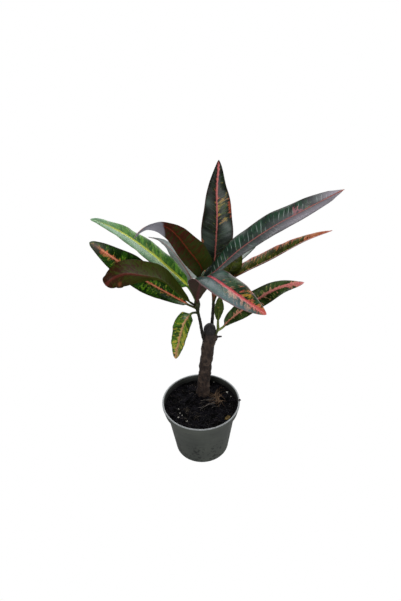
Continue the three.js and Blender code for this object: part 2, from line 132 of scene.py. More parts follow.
# Leaves, repeating the model. Each route is the midrib, and stalk is how much of it is petiole.
# The blade is widest at the share widest, and a lower full makes its ends fuller. roll, twist,
# base_turn and fold are turns about the midrib in degrees. wave is the height of the margin's
# waves, and ripple how much they widen the blade. base_share is how wide its foot stays, and
# tip_reach the share over which a blunt tip closes.
PLAIN_LEAF = dict(wave=0.8, waves=3, ripple=0.02, base_turn=0, base_share=1, tip_reach=0.001)

LEAVES = {
    "leaf_top": dict(
        route=[(21, 33.5, 296), (23.5, 40, 318), (26, 46, 336), (30, 63, 381), (31, 84, 421),
            (35, 105, 455)],
        stalk=26, width=46, widest=0.35, full=0.74, roll=8, twist=20, fold=18, wave=1.2,
        ripple=0.03),
    "leaf_long_right": dict(
        route=[(-1, 17.5, 294), (3, 18.5, 305), (12, 20, 318), (28, 22, 331), (61, 24, 364),
            (103, 24, 397), (143, 22, 423), (191, 18, 454)],
        stalk=17, width=37, widest=0.5, full=0.55, roll=38, twist=20, fold=36, waves=4,
        tip_reach=0.08),
    "leaf_mid_right": dict(
        route=[(22.3, 33.5, 262), (25, 31, 282), (38, 28, 303), (67, 24, 325), (101, 20, 347),
            (145, 16, 378), (180, 14, 395)],
        stalk=10, width=38, widest=0.4, full=0.72, roll=-7, twist=0, fold=24, wave=0.6, waves=2),
    "leaf_low_right": dict(
        route=[(28, 25, 219), (36, 25, 225), (46, 23, 240), (63, 20, 259), (87, 16, 284),
            (116, 12, 306), (147, 8, 315)],
        stalk=11, width=32, widest=0.48, full=0.72, roll=56, twist=25, fold=30, ripple=0.03),
    "leaf_front": dict(
        route=[(-0.7, 17.5, 274), (0, 10, 291), (2, 4, 308), (7, -3, 330), (16, -12, 345),
            (37, -28, 340), (62, -45, 329), (89, -62, 318)],
        stalk=10, width=54, widest=0.46, full=0.7, roll=-6, twist=34, base_turn=-25, base_share=0.4,
        fold=4),
    "leaf_arching_left": dict(
        route=[(-1, 17.5, 286), (-0.5, 12.5, 296), (1, 10.5, 309), (2, 10, 324), (6, 5, 348),
            (-10, -10, 388), (-26, -30, 428), (-40, -46, 450), (-54, -57, 457), (-65, -62, 453),
            (-73, -63, 443)],
        stalk=52, width=42, widest=0.24, full=0.8, roll=-108, twist=-30, fold=30, wave=1,
        ripple=0.03),
    "leaf_thin_left": dict(
        route=[(-0.8, 17.5, 286), (-2, 27, 291), (-5, 37, 299), (-15, 46, 317), (-31, 51, 343),
            (-48, 54, 360), (-65, 56, 366)],
        stalk=20, width=30, widest=0.3, full=0.8, roll=80, twist=-60, fold=10, wave=0.6),
    "leaf_green_left": dict(
        route=[(-0.7, 17.5, 278), (-13, 18, 307), (-43, 21, 343), (-62, 23, 363), (-93, 25, 391),
            (-125, 27, 411), (-137, 28, 415)],
        stalk=30, width=33, widest=0.36, full=0.55, roll=-16, twist=12, fold=7, waves=4),
    "leaf_red_rib_left": dict(
        route=[(-0.4, 17.5, 267), (-18, 14, 281), (-45, 10, 305), (-73, 4, 332), (-101, -2, 365),
            (-124, -6, 391), (-136, -8, 403)],
        stalk=16, width=43, widest=0.5, full=0.6, roll=-48, twist=-45, fold=24, wave=1, ripple=0.03),
    "leaf_curled_left": dict(
        route=[(-0.6, 17.5, 271), (-9, 10, 284), (-19, 2, 299.5), (-34, -7.5, 324.5),
            (-49, -16, 346), (-67, -24, 358), (-88, -33, 369), (-100, -38, 370), (-110, -42, 367),
            (-117, -45, 361)],
        stalk=18, width=51, widest=0.68, full=0.46, roll=92, twist=100, fold=72, fold_tip=36),
    "leaf_hanging": dict(
        route=[(-0.2, 17.5, 259.5), (-5, 14, 263), (-11, 10, 263), (-20.5, 4, 250), (-29.5, 2, 217),
            (-36, 4, 185)],
        stalk=13, width=30, widest=0.29, full=0.55, roll=-40, twist=-8, fold=15, wave=0.6,
        ripple=0.01),
    "leaf_small_upright": dict(
        route=[(28.6, 25.3, 224), (28.5, 26, 230), (29, 26, 242), (30, 26, 257), (31, 26.5, 281)],
        stalk=11, width=15, widest=0.55, full=0.7, roll=90, twist=10, fold=6, wave=0.4, waves=2),
    "leaf_behind_right": dict(
        route=[(22.6, 33.5, 266), (27, 42, 271), (36, 49, 288), (56, 60, 316), (79, 70, 339),
            (100, 76, 359), (117, 81, 373)],
        stalk=20, width=34, widest=0.5, full=0.5, roll=-8, twist=40, fold=14),
    "leaf_short_right": dict(
        route=[(22.4, 33.5, 284), (30, 30, 299), (45, 27, 324), (53, 29, 343), (57, 32, 358)],
        stalk=33, width=25, widest=0.5, full=0.62, roll=70, twist=12, fold=6, wave=0.6, waves=2),
    "leaf_back": dict(
        route=[(22, 33.4, 289), (22, 42, 294), (24, 52, 300), (26, 80, 313), (30, 112, 322),
            (34, 144, 323)],
        stalk=22, width=34, widest=0.45, full=0.7, roll=0, twist=10, fold=14, wave=1, ripple=0.03),
    "leaf_back_left": dict(
        route=[(-1, 17.5, 291), (2, 25, 298), (11.5, 33, 302), (12, 50, 308), (-2, 80, 317),
            (-17, 111, 321)],
        stalk=22, width=28, widest=0.45, full=0.7, roll=0, twist=10, fold=14, ripple=0.03),
}

LEAF = {
    "model_stations": 16,
    "petiole_radius": 1.75,
    "rows": 150,
    "stalk_rows": 16,
    "half_columns": 16,
    "thickness": 0.6,
    "rib_depth": 1.15,  # how far the midrib stands out beneath, at the blade's base
    "rib_reach": 1.7,
    "groove": 0.25,
    "quilting": 0.16,  # how high the blade swells between its side veins
    "vein_spacing": 7,
    "vein_slant": 0.58,  # how far a side vein runs towards the tip for each step outwards
    "camber": 0.05,
    "least_half_width": 0.35,
    "opening": 0.07,
    "closing": 0.05,
    "base_reach": 0.5,
}

# What a leaf looks like where its own entry below says nothing else. rib and the blotches name
# two colours that each runs between. Marks are given as (share along the blade, share
# across it, reach along, reach across, strength), and a level is how much of a kind of blotch
# there is elsewhere. thinning is how much fewer there are at the margin. The midrib comes in
# over rib_from and ends over rib_until, as shares of the blade, and its core takes up core_from
# of its width. The side veins are finer the nearer vein_from is to 0.5. flipped swaps the two
# sides, and tip is a paler end of the underside, from the share tip_from on: a painted reflection.
# The sheen colour and its marks are painted reflection: a paler colour laid where the glossy upper
# face would mirror the bright backdrop.
PLAIN_LOOK = dict(
    dark="16241a", green="2c4628", petiole="28301a", vein="5c7050", vein_strength=0.25,
    vein_from=0.34, rib=("a8404a", "b8604e"), rib_width=(1.5, 0.6), rib_bleed=1.2,
    rib_from=(-0.2, -0.1), rib_until=(1.2, 1.1), rib_fleck="c08058", rib_core="c08058",
    core_strength=0, core_from=0.45, edge="3a1c16", edge_strength=0.6, under="34201a",
    under_green="2e3418", under_rib="6c3024", under_level=0.13, flipped=False, tip="7a7980",
    tip_from=2, tip_slant=0, gloss=0.3, ior=1.4, thinning=0.5, warm=("b04a34", "c87a3c"),
    warm_level=0, warm_marks=(), pale=("c8a888", "c8b468"), pale_level=0, pale_marks=(),
    fresh=("3c6420", "6c8a2c"), fresh_level=0, fresh_marks=(), painted_sheen="7c8886", painted_sheen_marks=())

LOOKS = {
    "leaf_top": dict(
        dark="10140c", green="1e2c16", vein="6c8478", rib=("b46860", "d87074"),
        rib_width=(1.0, 1.6), rib_bleed=1.6, rib_until=(1.0, 0.93), rib_fleck="d88468",
        rib_core="d08078", core_strength=0.3, edge="4c2c24", gloss=0.34, ior=1.33,
        warm=("b04c38", "c06c40"), warm_level=-0.3,
        warm_marks=[(0.56, 0.97, 0.11, 0.16, 1.2), (0.95, -0.1, 0.05, 0.45, 0.7),
            (0.84, -0.1, 0.08, 0.16, 0.7), (0.27, -0.97, 0.02, 0.14, 1.4),
            (0.65, 0.25, 0.03, 0.2, 0.6)],
        pale=("c0843c", "b0a048"), pale_level=-0.25,
        pale_marks=[(0.46, 0.5, 0.025, 0.3, 0.9), (0.5, 0.15, 0.05, 0.14, 0.7),
            (0.64, 0.5, 0.025, 0.5, 0.8), (0.57, 0.12, 0.04, 0.1, 0.7),
            (0.67, 0.75, 0.03, 0.2, 0.7), (0.8, 0.55, 0.02, 0.3, 0.5)],
        fresh=("304218", "465a20"),
        fresh_marks=[(0.56, 0.45, 0.08, 0.35, 0.6), (0.3, 0.4, 0.1, 0.4, 0.2),
            (0.25, -0.4, 0.15, 0.5, 0.15)],
        painted_sheen="7c9088",
        painted_sheen_marks=[(0.38, 0.62, 0.06, 0.25, 0.4), (0.62, -0.8, 0.03, 0.2, 0.4),
            (0.25, -0.5, 0.05, 0.4, 0.35), (0.33, -0.6, 0.02, 0.4, 0.35)]),
    # Its near-white vein lines are painted highlights, standing in for gloss streaks along the side
    # veins.
    "leaf_long_right": dict(
        dark="142c20", green="1e4a30", vein="d4e0dc", vein_strength=0.75, vein_from=0.4,
        rib=("b46068", "cc8880"), rib_width=(0.9, 1.0), rib_bleed=0.6, warm=("b86c78", "c48c80"),
        warm_level=-0.3,
        warm_marks=[(0.71, -0.3, 0.016, 0.4, 0.9), (0.735, -0.15, 0.01, 0.2, 0.8),
            (0.1, -1, 0.12, 0.1, 0.8), (0.66, 0.1, 0.02, 0.1, 0.6)],
        pale_level=-0.3, painted_sheen="c8bfcc",
        painted_sheen_marks=[(0.3, 0.6, 0.3, 0.45, 0.25), (0.78, 0.6, 0.2, 0.5, 0.85),
            (0.97, 0, 0.1, 2, 0.85)]),
    "leaf_mid_right": dict(
        dark="2c2c0a", green="485214", rib=("a8483c", "c06858"), rib_width=(1.2, 1.0),
        rib_bleed=1.5, edge="b0524c", edge_strength=1, ior=1.2, thinning=0,
        warm=("b45c44", "c88058"), warm_level=0.2,
        warm_marks=[(0.97, 0, 0.09, 2, 1.5), (0.06, 0, 0.06, 2, 0.8), (0.5, -0.95, 0.4, 0.2, 0.4)],
        pale=("b48850", "bc9858"), pale_level=0.16, fresh=("546414", "6c781c"), fresh_level=0.35),
    "leaf_low_right": dict(
        dark="20300f", green="3a5220", petiole="7c8844", rib=("c08068", "dc8484"),
        rib_width=(1.3, 3.0), rib_bleed=2.6, rib_fleck="d8b488", ior=1.3, warm=("cc7064", "d88c78"),
        warm_level=0.15,
        warm_marks=[(0.95, 0, 0.07, 0.9, 0.9)],
        pale=("a89464", "bca07c"), pale_level=0.2,
        pale_marks=[(0.6, 0.2, 0.02, 0.15, 0.4), (0.68, -0.25, 0.02, 0.2, 0.4)],
        fresh=("4c6c2c", "7c8c3c"), fresh_level=0.25,
        fresh_marks=[(0.58, -0.5, 0.03, 0.25, 0.4), (0.66, -0.6, 0.03, 0.25, 0.3),
            (0.68, 0.55, 0.03, 0.2, 0.3)]),
    "leaf_front": dict(
        dark="142c12", green="2c501e", petiole="2a2418", vein="7c9084", vein_strength=0.3,
        rib=("d43074", "e05c58"), rib_width=(2.5, 2.6), rib_bleed=1.4, rib_fleck="d89080",
        rib_core="f09080", core_strength=0.6, edge="a8747c", under="40221e", under_green="34281a",
        under_rib="4e2624", warm=("c85c4c", "d88850"), warm_level=0.12,
        warm_marks=[(0.97, 0, 0.06, 1.2, 1), (0.735, -0.6, 0.02, 0.35, 0.4),
            (0.79, -0.95, 0.04, 0.2, 0.6), (0.86, -0.3, 0.03, 0.2, 0.4),
            (0.87, 0.25, 0.03, 0.25, 0.5), (0.76, -0.85, 0.02, 0.2, 0.5)],
        pale=("c4846c", "d8ac88"),
        pale_marks=[(0.67, 0.3, 0.022, 0.22, 0.8), (0.73, 0.5, 0.022, 0.35, 0.8),
            (0.785, 0.3, 0.02, 0.3, 0.8), (0.84, 0.55, 0.025, 0.4, 0.9),
            (0.9, 0.4, 0.025, 0.4, 0.7), (0.66, -0.4, 0.012, 0.3, 0.4),
            (0.84, -0.65, 0.014, 0.3, 0.35), (0.735, -0.4, 0.012, 0.3, 0.35),
            (0.7, -0.8, 0.012, 0.2, 0.35)],
        fresh=("a88c28", "c0a030"), fresh_level=0.1,
        fresh_marks=[(0.81, -0.6, 0.025, 0.3, 0.6), (0.775, -0.4, 0.015, 0.2, 0.4)],
        painted_sheen="849ca4",
        painted_sheen_marks=[(0.52, 0.5, 0.09, 0.45, 0.6), (0.47, -0.6, 0.05, 0.3, 0.4),
            (0.72, 0.8, 0.2, 0.3, 0.65)]),
    # Its tip colour is a painted reflection: the grey-lilac sheen on its turned-over end.
    "leaf_arching_left": dict(
        dark="242a22", green="3c4a3a", petiole="1c280e", rib=("904038", "a05048"),
        rib_width=(1.5, 1.2), edge="24100e", under="421206", under_green="2c380a",
        under_rib="7c3420", under_level=0.12, flipped=True, tip="8e8d96", tip_from=0.72,
        tip_slant=-0.06, ior=1.25, warm=("8c4434", "a06040")),
    # Its pale grey underside colours are painted reflection: they stand in for the backdrop's sheen on
    # a leaf seen at a grazing angle.
    "leaf_thin_left": dict(
        dark="3c4c44", green="50605a", petiole="32421c", rib=("a06068", "8c6a6a"),
        rib_width=(0.9, 0.4), edge="a07478", edge_strength=0.5, under="b0bcbc",
        under_green="c0ccc8", under_rib="b88480"),
    "leaf_green_left": dict(
        dark="2c6214", green="62a024", petiole="3c5a14", vein="a4cc5c", vein_strength=0.4,
        rib=("e0f044", "e4ec84"), rib_width=(2.4, 1.0), rib_bleed=0.4, rib_until=(1.0, 0.75),
        rib_fleck="e4f060", edge="8c7854", edge_strength=0.4, under="4c5c2c", under_green="52702c",
        under_rib="8a9440", fresh=("70a42c", "98cc4c"), fresh_level=0.28, painted_sheen="90b898",
        painted_sheen_marks=[(0.75, -0.6, 0.3, 0.5, 0.85), (0.42, -0.7, 0.15, 0.3, 0.6),
            (0.98, 0.5, 0.18, 1, 0.75)]),
    "leaf_red_rib_left": dict(
        dark="162c0c", green="2e5a14", petiole="3c3c18", vein="4c6a2c", rib=("dc4c34", "f08468"),
        rib_width=(1.7, 2.2), rib_bleed=2.0, rib_until=(0.97, 0.84), rib_fleck="ecc08c",
        rib_core="ecbc94", core_strength=0.6, core_from=0.6, edge="28140e", edge_strength=0.8,
        ior=1.22, thinning=0.8, warm=("c06440", "d08c54"), warm_level=0.05,
        warm_marks=[(0.865, -0.2, 0.03, 0.4, 0.6), (0.74, 0, 0.05, 0.2, 0.6),
            (0.29, -0.15, 0.03, 0.15, 0.5)],
        pale=("b09858", "b4a44c"), pale_level=0.1,
        pale_marks=[(0.75, -0.3, 0.014, 0.3, 0.4), (0.82, -0.35, 0.016, 0.3, 0.4)],
        fresh=("4c8420", "84ac30"), fresh_level=0.25,
        fresh_marks=[(0.44, -0.6, 0.035, 0.35, 0.5), (0.78, -0.6, 0.02, 0.3, 0.4),
            (0.36, 0.35, 0.02, 0.2, 0.3), (0.33, -0.6, 0.03, 0.3, 0.3), (0.66, 0.2, 0.06, 0.2, 0.5),
            (0.4, -0.3, 0.1, 0.5, 0.25)],
        painted_sheen="847878",
        painted_sheen_marks=[(0.95, 0, 0.05, 0.5, 0.6)]),
    "leaf_curled_left": dict(
        petiole="1e1c10", rib=("943a44", "a04c4c"), rib_width=(1.4, 2.8), rib_from=(0.5, 0.75),
        edge="1c0e0e", under="3a2010", under_green="3a4410", under_rib="602a22", under_level=0.19,
        ior=1.15, warm=("9a5838", "a86844"),
        warm_marks=[(0.88, 0.7, 0.03, 0.2, 0.9)]),
    "leaf_hanging": dict(
        dark="26440e", green="54801e", petiole="2a3414", rib=("c89c70", "cc9c64"),
        rib_width=(1.7, 2.0), rib_bleed=3.4, rib_fleck="dcc488", rib_core="b87460",
        core_strength=0.3, edge="30280f", edge_strength=0.9, under="4a5426", under_green="50682a",
        ior=1.35, thinning=0.1, pale=("c8a45c", "b8a04c"),
        pale_marks=[(0.5, -0.12, 0.05, 0.2, 0.5), (0.75, -0.15, 0.06, 0.35, 0.6),
            (0.95, 0, 0.12, 1.2, 0.8), (0.85, 0.3, 0.07, 0.4, 0.6)],
        fresh=("909a28", "bcbc40"), fresh_level=0.42,
        fresh_marks=[(0.36, -0.6, 0.04, 0.35, 0.7), (0.5, -0.5, 0.05, 0.3, 0.6),
            (0.7, 0.5, 0.06, 0.35, 0.5), (0.62, -0.6, 0.04, 0.3, 0.5)]),
    "leaf_small_upright": dict(
        dark="26320c", green="3a4a14", petiole="5c6830", rib=("5c6a2a", "56602a"),
        rib_width=(0.6, 0.3), rib_fleck="6c7838", edge="566038", ior=1.25),
    "leaf_behind_right": dict(
        dark="4c6458", green="64806c", petiole="3a4a20", vein="8ca498", vein_strength=0.4,
        rib=("90504c", "8c6058"), under="4c5c50", under_green="5c7060"),
    "leaf_short_right": dict(
        dark="363e12", green="586622", petiole="32301a", rib=("6e7030", "6c6c30"),
        rib_width=(0.7, 0.4), rib_fleck="6c7030", under="1e220c", under_green="343c14",
        under_rib="6c6c30", ior=1.25),
    "leaf_back": dict(
        warm_marks=[(0.5, 0.4, 0.02, 0.4, 0.5), (0.72, -0.4, 0.02, 0.4, 0.5),
            (0.97, 0, 0.06, 1, 0.8)],
        pale_marks=[(0.4, -0.5, 0.02, 0.4, 0.4), (0.62, 0.5, 0.02, 0.3, 0.4)],
        fresh_level=0.15),
    "leaf_back_left": dict(
        dark="263a18", green="44601f", rib=("a4603c", "a8783c"),
        pale_marks=[(0.45, 0.5, 0.02, 0.4, 0.4), (0.7, -0.5, 0.02, 0.3, 0.4)],
        fresh_level=0.2),
}

# Loose bits on the soil, by their place in plan.
PERLITE = [(-35.1, -6.7), (-32.8, -13.1), (-29.7, -19.5), (-35.1, -25.4), (-22.1, -32.1),
           (-26.7, -38), (21, 50.5), (41.4, 26.6), (47.3, 17.6)]
CRUMBS = [  # name, count, least and greatest size, colours
    ("soil_crumbs_dark", 620, 0.5, 1.7, ("030304", "17141b", "605658")),
    ("soil_crumbs_brown", 170, 0.4, 1.3, ("120c0c", "221818", "3c2c26")),
    ("soil_grit", 60, 0.25, 0.5, ("3c3840", "6a6670", "a8a4a0")),
]
ROOT_TUFT = {"place": (25.5, 15), "strands": 46}
ROOT_STRANDS = [  # start, heading in radians, length
    ((26, 8), 3.45, 36), ((22, 4), 3.62, 30), ((24, 12), 3.3, 26), ((30, 2), 3.9, 18),
    ((20, 9), 3.1, 14)]
ROOT_STARS = [((-8.4, -24.5), 9, 6), ((-22, -9.4), 14, 7)]  # place, number of hairs, length
STRAY_HAIRS = 60
DEAD_LEAF = {"place": (40, -28.5), "reach": 5.5, "rows": 14, "columns": 9, "thickness": 0.3}
RIM_CRUMB = (59.6, -1.3)
BUD = (-2.4, 14.6, 275)


# Small helpers

def smooth(x):
    x = np.clip(x, 0, 1)
    return x * x * (3 - 2 * x)


def mix(a, b, share):
    return a + (b - a) * share


def unit(vectors):
    return vectors / np.maximum(np.linalg.norm(vectors, axis=-1, keepdims=True), 1e-12)


def bell(x, middle, reach):
    """1 at the middle, and fading out over about the reach on both sides."""
    return np.exp(-(((x - middle) / reach) ** 2))


def full_turn(sides):
    return 2 * np.pi * np.arange(sides) / sides


def circled(radius, angle, height):
    """Points about the upright axis."""
    return np.stack(np.broadcast_arrays(radius * np.cos(angle), radius * np.sin(angle), height), -1)


def turned(vectors, axes, angles):
    """Vectors turned about unit axes by angles in radians, row by row."""
    cosine = np.cos(angles)[:, None]
    sine = np.sin(angles)[:, None]
    kept = axes * np.sum(axes * vectors, axis=1, keepdims=True)
    return vectors * cosine + np.cross(axes, vectors) * sine + kept * (1 - cosine)


def noise_at(points, size, seed):
    """Smooth random values from -1 to 1 at points, changing over about size millimetres."""
    places = np.asarray(points, float) / size
    cells = np.floor(places).astype(np.int64)
    share = smooth(places - cells)
    total = np.zeros(places.shape[:-1])
    for corner in np.ndindex(2, 2, 2):
        corner = np.array(corner)
        x, y, z = np.moveaxis(cells + corner, -1, 0)
        code = (x * 73856093) ^ (y * 19349663) ^ (z * 83492791) ^ (seed * 2654435761)
        code = ((code ^ (code >> 13)) * 1274126177) & 0xFFFFFFFF
        value = ((code ^ (code >> 16)) & 0xFFFF) / 32767.5 - 1
        weight = np.prod(np.where(corner == 1, share, 1 - share), axis=-1)
        total = total + weight * value
    return total


def layered_noise(points, size, layers, seed):
    """Noise of size with finer, fainter noise over it."""
    return sum(noise_at(points, size / 2.1**i, seed + i) * 0.55**i for i in range(layers))


class Run:
    """A smooth curve through points, read by the distance along it."""

    def __init__(self, points, per_span=24):
        p = np.asarray(points, float)
        p = np.vstack([2 * p[0] - p[1], p, 2 * p[-1] - p[-2]])
        t = np.linspace(0, 1, per_span, endpoint=False)[:, None]
        spans = []
        for i in range(1, len(p) - 2):
            a, b, c, d = p[i - 1:i + 3]
            bend = (2 * a - 5 * b + 4 * c - d) * t**2 + (3 * b - a - 3 * c + d) * t**3
            spans.append(0.5 * (2 * b + (c - a) * t + bend))
        self.places = np.vstack([*spans, p[-2:-1]])
        steps = np.linalg.norm(np.diff(self.places, axis=0), axis=1)
        self.run = np.concatenate([[0], np.cumsum(steps)])
        self.length = self.run[-1]

    def at(self, distances):
        return read_along(self.run, self.places, distances)

    def along(self, distances):
        step = self.length * 0.01
        return unit(self.at(distances + step) - self.at(distances - step))


def read_along(run, values, distances):
    return np.stack([np.interp(distances, run, values[:, k]) for k in range(3)], -1)


def carried(along, start, seed):
    """One side direction carried both ways along a run without turning about it."""
    sides = np.zeros_like(along)
    sides[start] = unit(seed - (seed @ along[start]) * along[start])
    order = [(i, i - 1) for i in range(start + 1, len(along))]
    order += [(i, i + 1) for i in range(start - 1, -1, -1)]
    for i, known in order:
        sides[i] = unit(sides[known] - (sides[known] @ along[i]) * along[i])
    return sides


# Meshes: a body is its points, in millimetres, and its faces.

def ring_faces(rows, columns):
    """Faces between rows of points, each row a closed ring, with a lid at each end."""
    here = np.arange(columns)
    following = np.roll(here, -1)
    faces = []
    for a in range(0, (rows - 1) * columns, columns):
        b = a + columns
        faces.extend(np.stack([a + here, a + following, b + following, b + here], -1).tolist())
    faces.append(here[::-1].tolist())
    faces.append(((rows - 1) * columns + here).tolist())
    return faces


def grid(rows, columns):
    """Faces of a grid of points, and the points of its border in order."""
    corner = np.arange(rows * columns).reshape(rows, columns)
    faces = np.stack([corner[:-1, :-1], corner[:-1, 1:], corner[1:, 1:], corner[1:, :-1]], -1)
    border = np.concatenate([corner[0, :-1], corner[:-1, -1], corner[-1, :0:-1], corner[:0:-1, 0]])
    return faces.reshape(-1, 4), border


def rings_about(points, along, seed, radius, sides):
    """Rings round a line of points, with a radius for each ring or for each point of it."""
    normal = carried(along, 0, seed)
    side = np.cross(along, normal)
    angle = full_turn(sides)[:, None]
    turn = normal[:, None] * np.cos(angle) + side[:, None] * np.sin(angle)
    return points[:, None] + turn * radius[..., None]


def tube(points, radii, sides):
    """The body of a closed thin tube through points."""
    points = np.asarray(points, float)
    along = unit(np.gradient(points, axis=0))
    seed = np.array([0, 0, 1.0]) if abs(along[0][2]) < 0.9 else np.array([1.0, 0, 0])
    radii = np.broadcast_to(radii, len(points))[:, None]
    rings = rings_about(points, along, seed, radii, sides)
    return rings.reshape(-1, 3), ring_faces(len(points), sides)


def ball(subdivisions):
    """The body of a round ball of radius 1."""
    work = bmesh.new()
    bmesh.ops.create_icosphere(work, subdivisions=subdivisions, radius=1)
    points = np.array([p.co[:] for p in work.verts])
    faces = [[p.index for p in face.verts] for face in work.faces]
    work.free()
    return points, faces


def gathered(bodies):
    """Many small bodies as one."""
    points = []
    faces = []
    for own_points, own_faces in bodies:
        first = len(points)
        points.extend(np.asarray(own_points).tolist())
        faces.extend([first + i for i in face] for face in own_faces)
    return points, faces


def new_mesh(name, points, faces):
    mesh = bpy.data.meshes.new(name)
    mesh.from_pydata((np.asarray(points) * METRES_PER_MM).tolist(), [], faces)
    return mesh


def face_outwards(mesh):
    """Turns every face of closed bodies outwards and shades them smoothly."""
    work = bmesh.new()
    work.from_mesh(mesh)
    bmesh.ops.recalc_face_normals(work, faces=work.faces)
    work.to_mesh(mesh)
    work.free()
    mesh.polygons.foreach_set("use_smooth", [True] * len(mesh.polygons))


def placed(name, data):
    """A new object in the scene."""
    made = bpy.data.objects.new(name, data)
    bpy.context.scene.collection.objects.link(made)
    return made


def add_piece(name, body, material, replaces=(), values=None):
    """A piece of the object, riding on its one body, with values for its material to read."""
    mesh = new_mesh(name, *body)
    for key, value in (values or {}).items():
        data = mesh.attributes.new(key, "FLOAT_VECTOR", "POINT").data
        data.foreach_set("vector", np.asarray(value, np.float32).ravel())
    face_outwards(mesh)
    mesh.materials.append(material)
    made = placed(name, mesh)
    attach(made, "root")
    if replaces:
        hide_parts(*replaces)
    return made


# Materials

def linear(code):
    """A screen colour such as "2c4a26" as linear values."""
    parts = [int(code[i:i + 2], 16) / 255 for i in (0, 2, 4)]
    return (*[p / 12.92 if p < 0.04045 else ((p + 0.055) / 1.055) ** 2.4 for p in parts], 1)


class Finish:
    """One procedural material. Each method adds a node and gives back its output."""

    def __init__(self, name, **settings):
        self.material = bpy.data.materials.new(name)
        self.material.use_nodes = True
        self.tree = self.material.node_tree
        self.surface = self.tree.nodes["Principled BSDF"]
        for socket, value in settings.items():
            self.surface.inputs[socket.replace("_", " ")].default_value = value

    def node(self, kind, output, values, **settings):
        made = self.tree.nodes.new(kind)
        for key, value in settings.items():
            setattr(made, key, value)
        for socket, value in values.items():
            if isinstance(value, bpy.types.NodeSocket):
                self.tree.links.new(value, made.inputs[socket])
            else:
                made.inputs[socket].default_value = value
        return made.outputs[output]

    def math(self, operation, *values):
        return self.node("ShaderNodeMath", 0, dict(enumerate(values)), operation=operation)

    def add(self, a, b):
        return self.math("ADD", a, b)

    def times(self, a, b):
        return self.math("MULTIPLY", a, b)

    def scaled(self, value, by, plus):
        return self.math("MULTIPLY_ADD", value, by, plus)

    def moved(self, value, noise, amount):
        """A value moved up and down by noise."""
        return self.scaled(self.add(noise, -0.5), amount, value)

    def between(self, value, low, high):
        """0 below low and 1 above high, with a smooth step. It runs down where low is above high."""
        values = {"Value": value, "From Min": low, "From Max": high}
        return self.node("ShaderNodeMapRange", 0, values, interpolation_type="SMOOTHSTEP")

    def blend(self, share, a, b):
        a = linear(a) if isinstance(a, str) else a
        b = linear(b) if isinstance(b, str) else b
        return self.node("ShaderNodeMix", 2, {0: share, 6: a, 7: b}, data_type="RGBA")

    def over(self, colour, paint, value, low, high, strength=None):
        """A colour with paint over it where a value passes from low to high."""
        share = self.between(value, low, high)
        share = share if strength is None else self.times(share, strength)
        return self.blend(share, colour, paint)

    def combine(self, x, y, z):
        return self.node("ShaderNodeCombineXYZ", 0, {0: x, 1: y, 2: z})

    def separate(self, vector):
        made = self.tree.nodes.new("ShaderNodeSeparateXYZ")
        self.tree.links.new(vector, made.inputs[0])
        return made.outputs[:]

    def attribute(self, name):
        return self.node("ShaderNodeAttribute", "Vector", {}, attribute_name=name)

    def place(self):
        """Where the surface lies, in metres."""
        return self.node("ShaderNodeTexCoord", "Object", {})

    def stretched(self, vector, scale):
        return self.node("ShaderNodeMapping", 0, {"Vector": vector, "Scale": scale})

    def noise(self, vector, scale, detail=2.0, roughness=0.5, distortion=0.0):
        values = {"Vector": vector, "Scale": scale, "Detail": detail, "Roughness": roughness,
                  "Distortion": distortion}
        return self.node("ShaderNodeTexNoise", 0, values)

    def done(self, colour, rough, height, distance, strength):
        """Joins colour, roughness and relief to the surface. distance is the relief's depth."""
        values = {"Height": height, "Distance": distance * METRES_PER_MM, "Strength": strength}
        normal = self.node("ShaderNodeBump", 0, values)
        for socket, output in {"Base Color": colour, "Roughness": rough, "Normal": normal}.items():
            self.tree.links.new(output, self.surface.inputs[socket])
        return self.material


def blade_fields(f, look, seed):
    """What a blade's colours are made from, read or worked out once."""
    blade = SimpleNamespace()
    blade.run, blade.off, blade.share = f.separate(f.attribute("blade"))
    blade.marks = dict(zip(("warm", "pale", "fresh"), f.separate(f.attribute("marks"))))
    # face holds the share across, which side is up, and the strength of the painted reflection
    # (sheen).
    blade.across, blade.upper, blade.painted_sheen = f.separate(f.attribute("face"))
    blade.out = f.math("ABSOLUTE", blade.off)
    blade.outwards = f.math("ABSOLUTE", blade.across)
    left = f.math("LESS_THAN", blade.off, 0.0)
    place = f.combine(f.times(blade.run, 0.06), f.times(blade.off, 0.06), float(seed))
    wander = f.noise(place, 1.0)
    vein = f.scaled(blade.out, -LEAF["vein_slant"], blade.run)
    vein = f.scaled(left, LEAF["vein_spacing"] / 2, vein)
    vein = f.scaled(wander, 5.0, vein)

    def vein_noise(along, over, start, detail=3.0):
        """Noise drawn out along the side veins, different on each side of the midrib."""
        other = f.scaled(left, 7.0, start + seed * 3.7)
        place = f.combine(f.times(vein, along), f.times(blade.out, over), other)
        return f.noise(place, 1.0, detail, 0.62)

    blade.patch = vein_noise(0.14, 0.06, 0.0)
    blade.blotch = vein_noise(0.3, 0.12, 31.0, 4.0)
    blade.speckle = vein_noise(0.6, 0.28, 57.0)

    phase = f.math("FRACT", f.times(vein, 1 / LEAF["vein_spacing"]))
    from_middle = f.math("ABSOLUTE", f.math("SUBTRACT", phase, 0.5))
    line = f.between(from_middle, look["vein_from"], 0.5)
    line = f.times(line, f.between(blade.outwards, 0.92, 0.55))
    blade.vein_line = f.times(line, f.between(blade.patch, 0.42, 0.58))

    wide, narrow = look["rib_width"]
    blade.rib_half = f.scaled(blade.share, narrow - wide, wide)
    bled = f.moved(blade.out, blade.blotch, -2 * look["rib_bleed"])
    bled = f.moved(bled, blade.speckle, -look["rib_bleed"])
    blade.from_rib = f.math("DIVIDE", bled, blade.rib_half)
    starts = f.between(blade.share, *look["rib_from"])
    blade.rib_shown = f.times(starts, f.between(blade.share, *look["rib_until"]))
    return blade


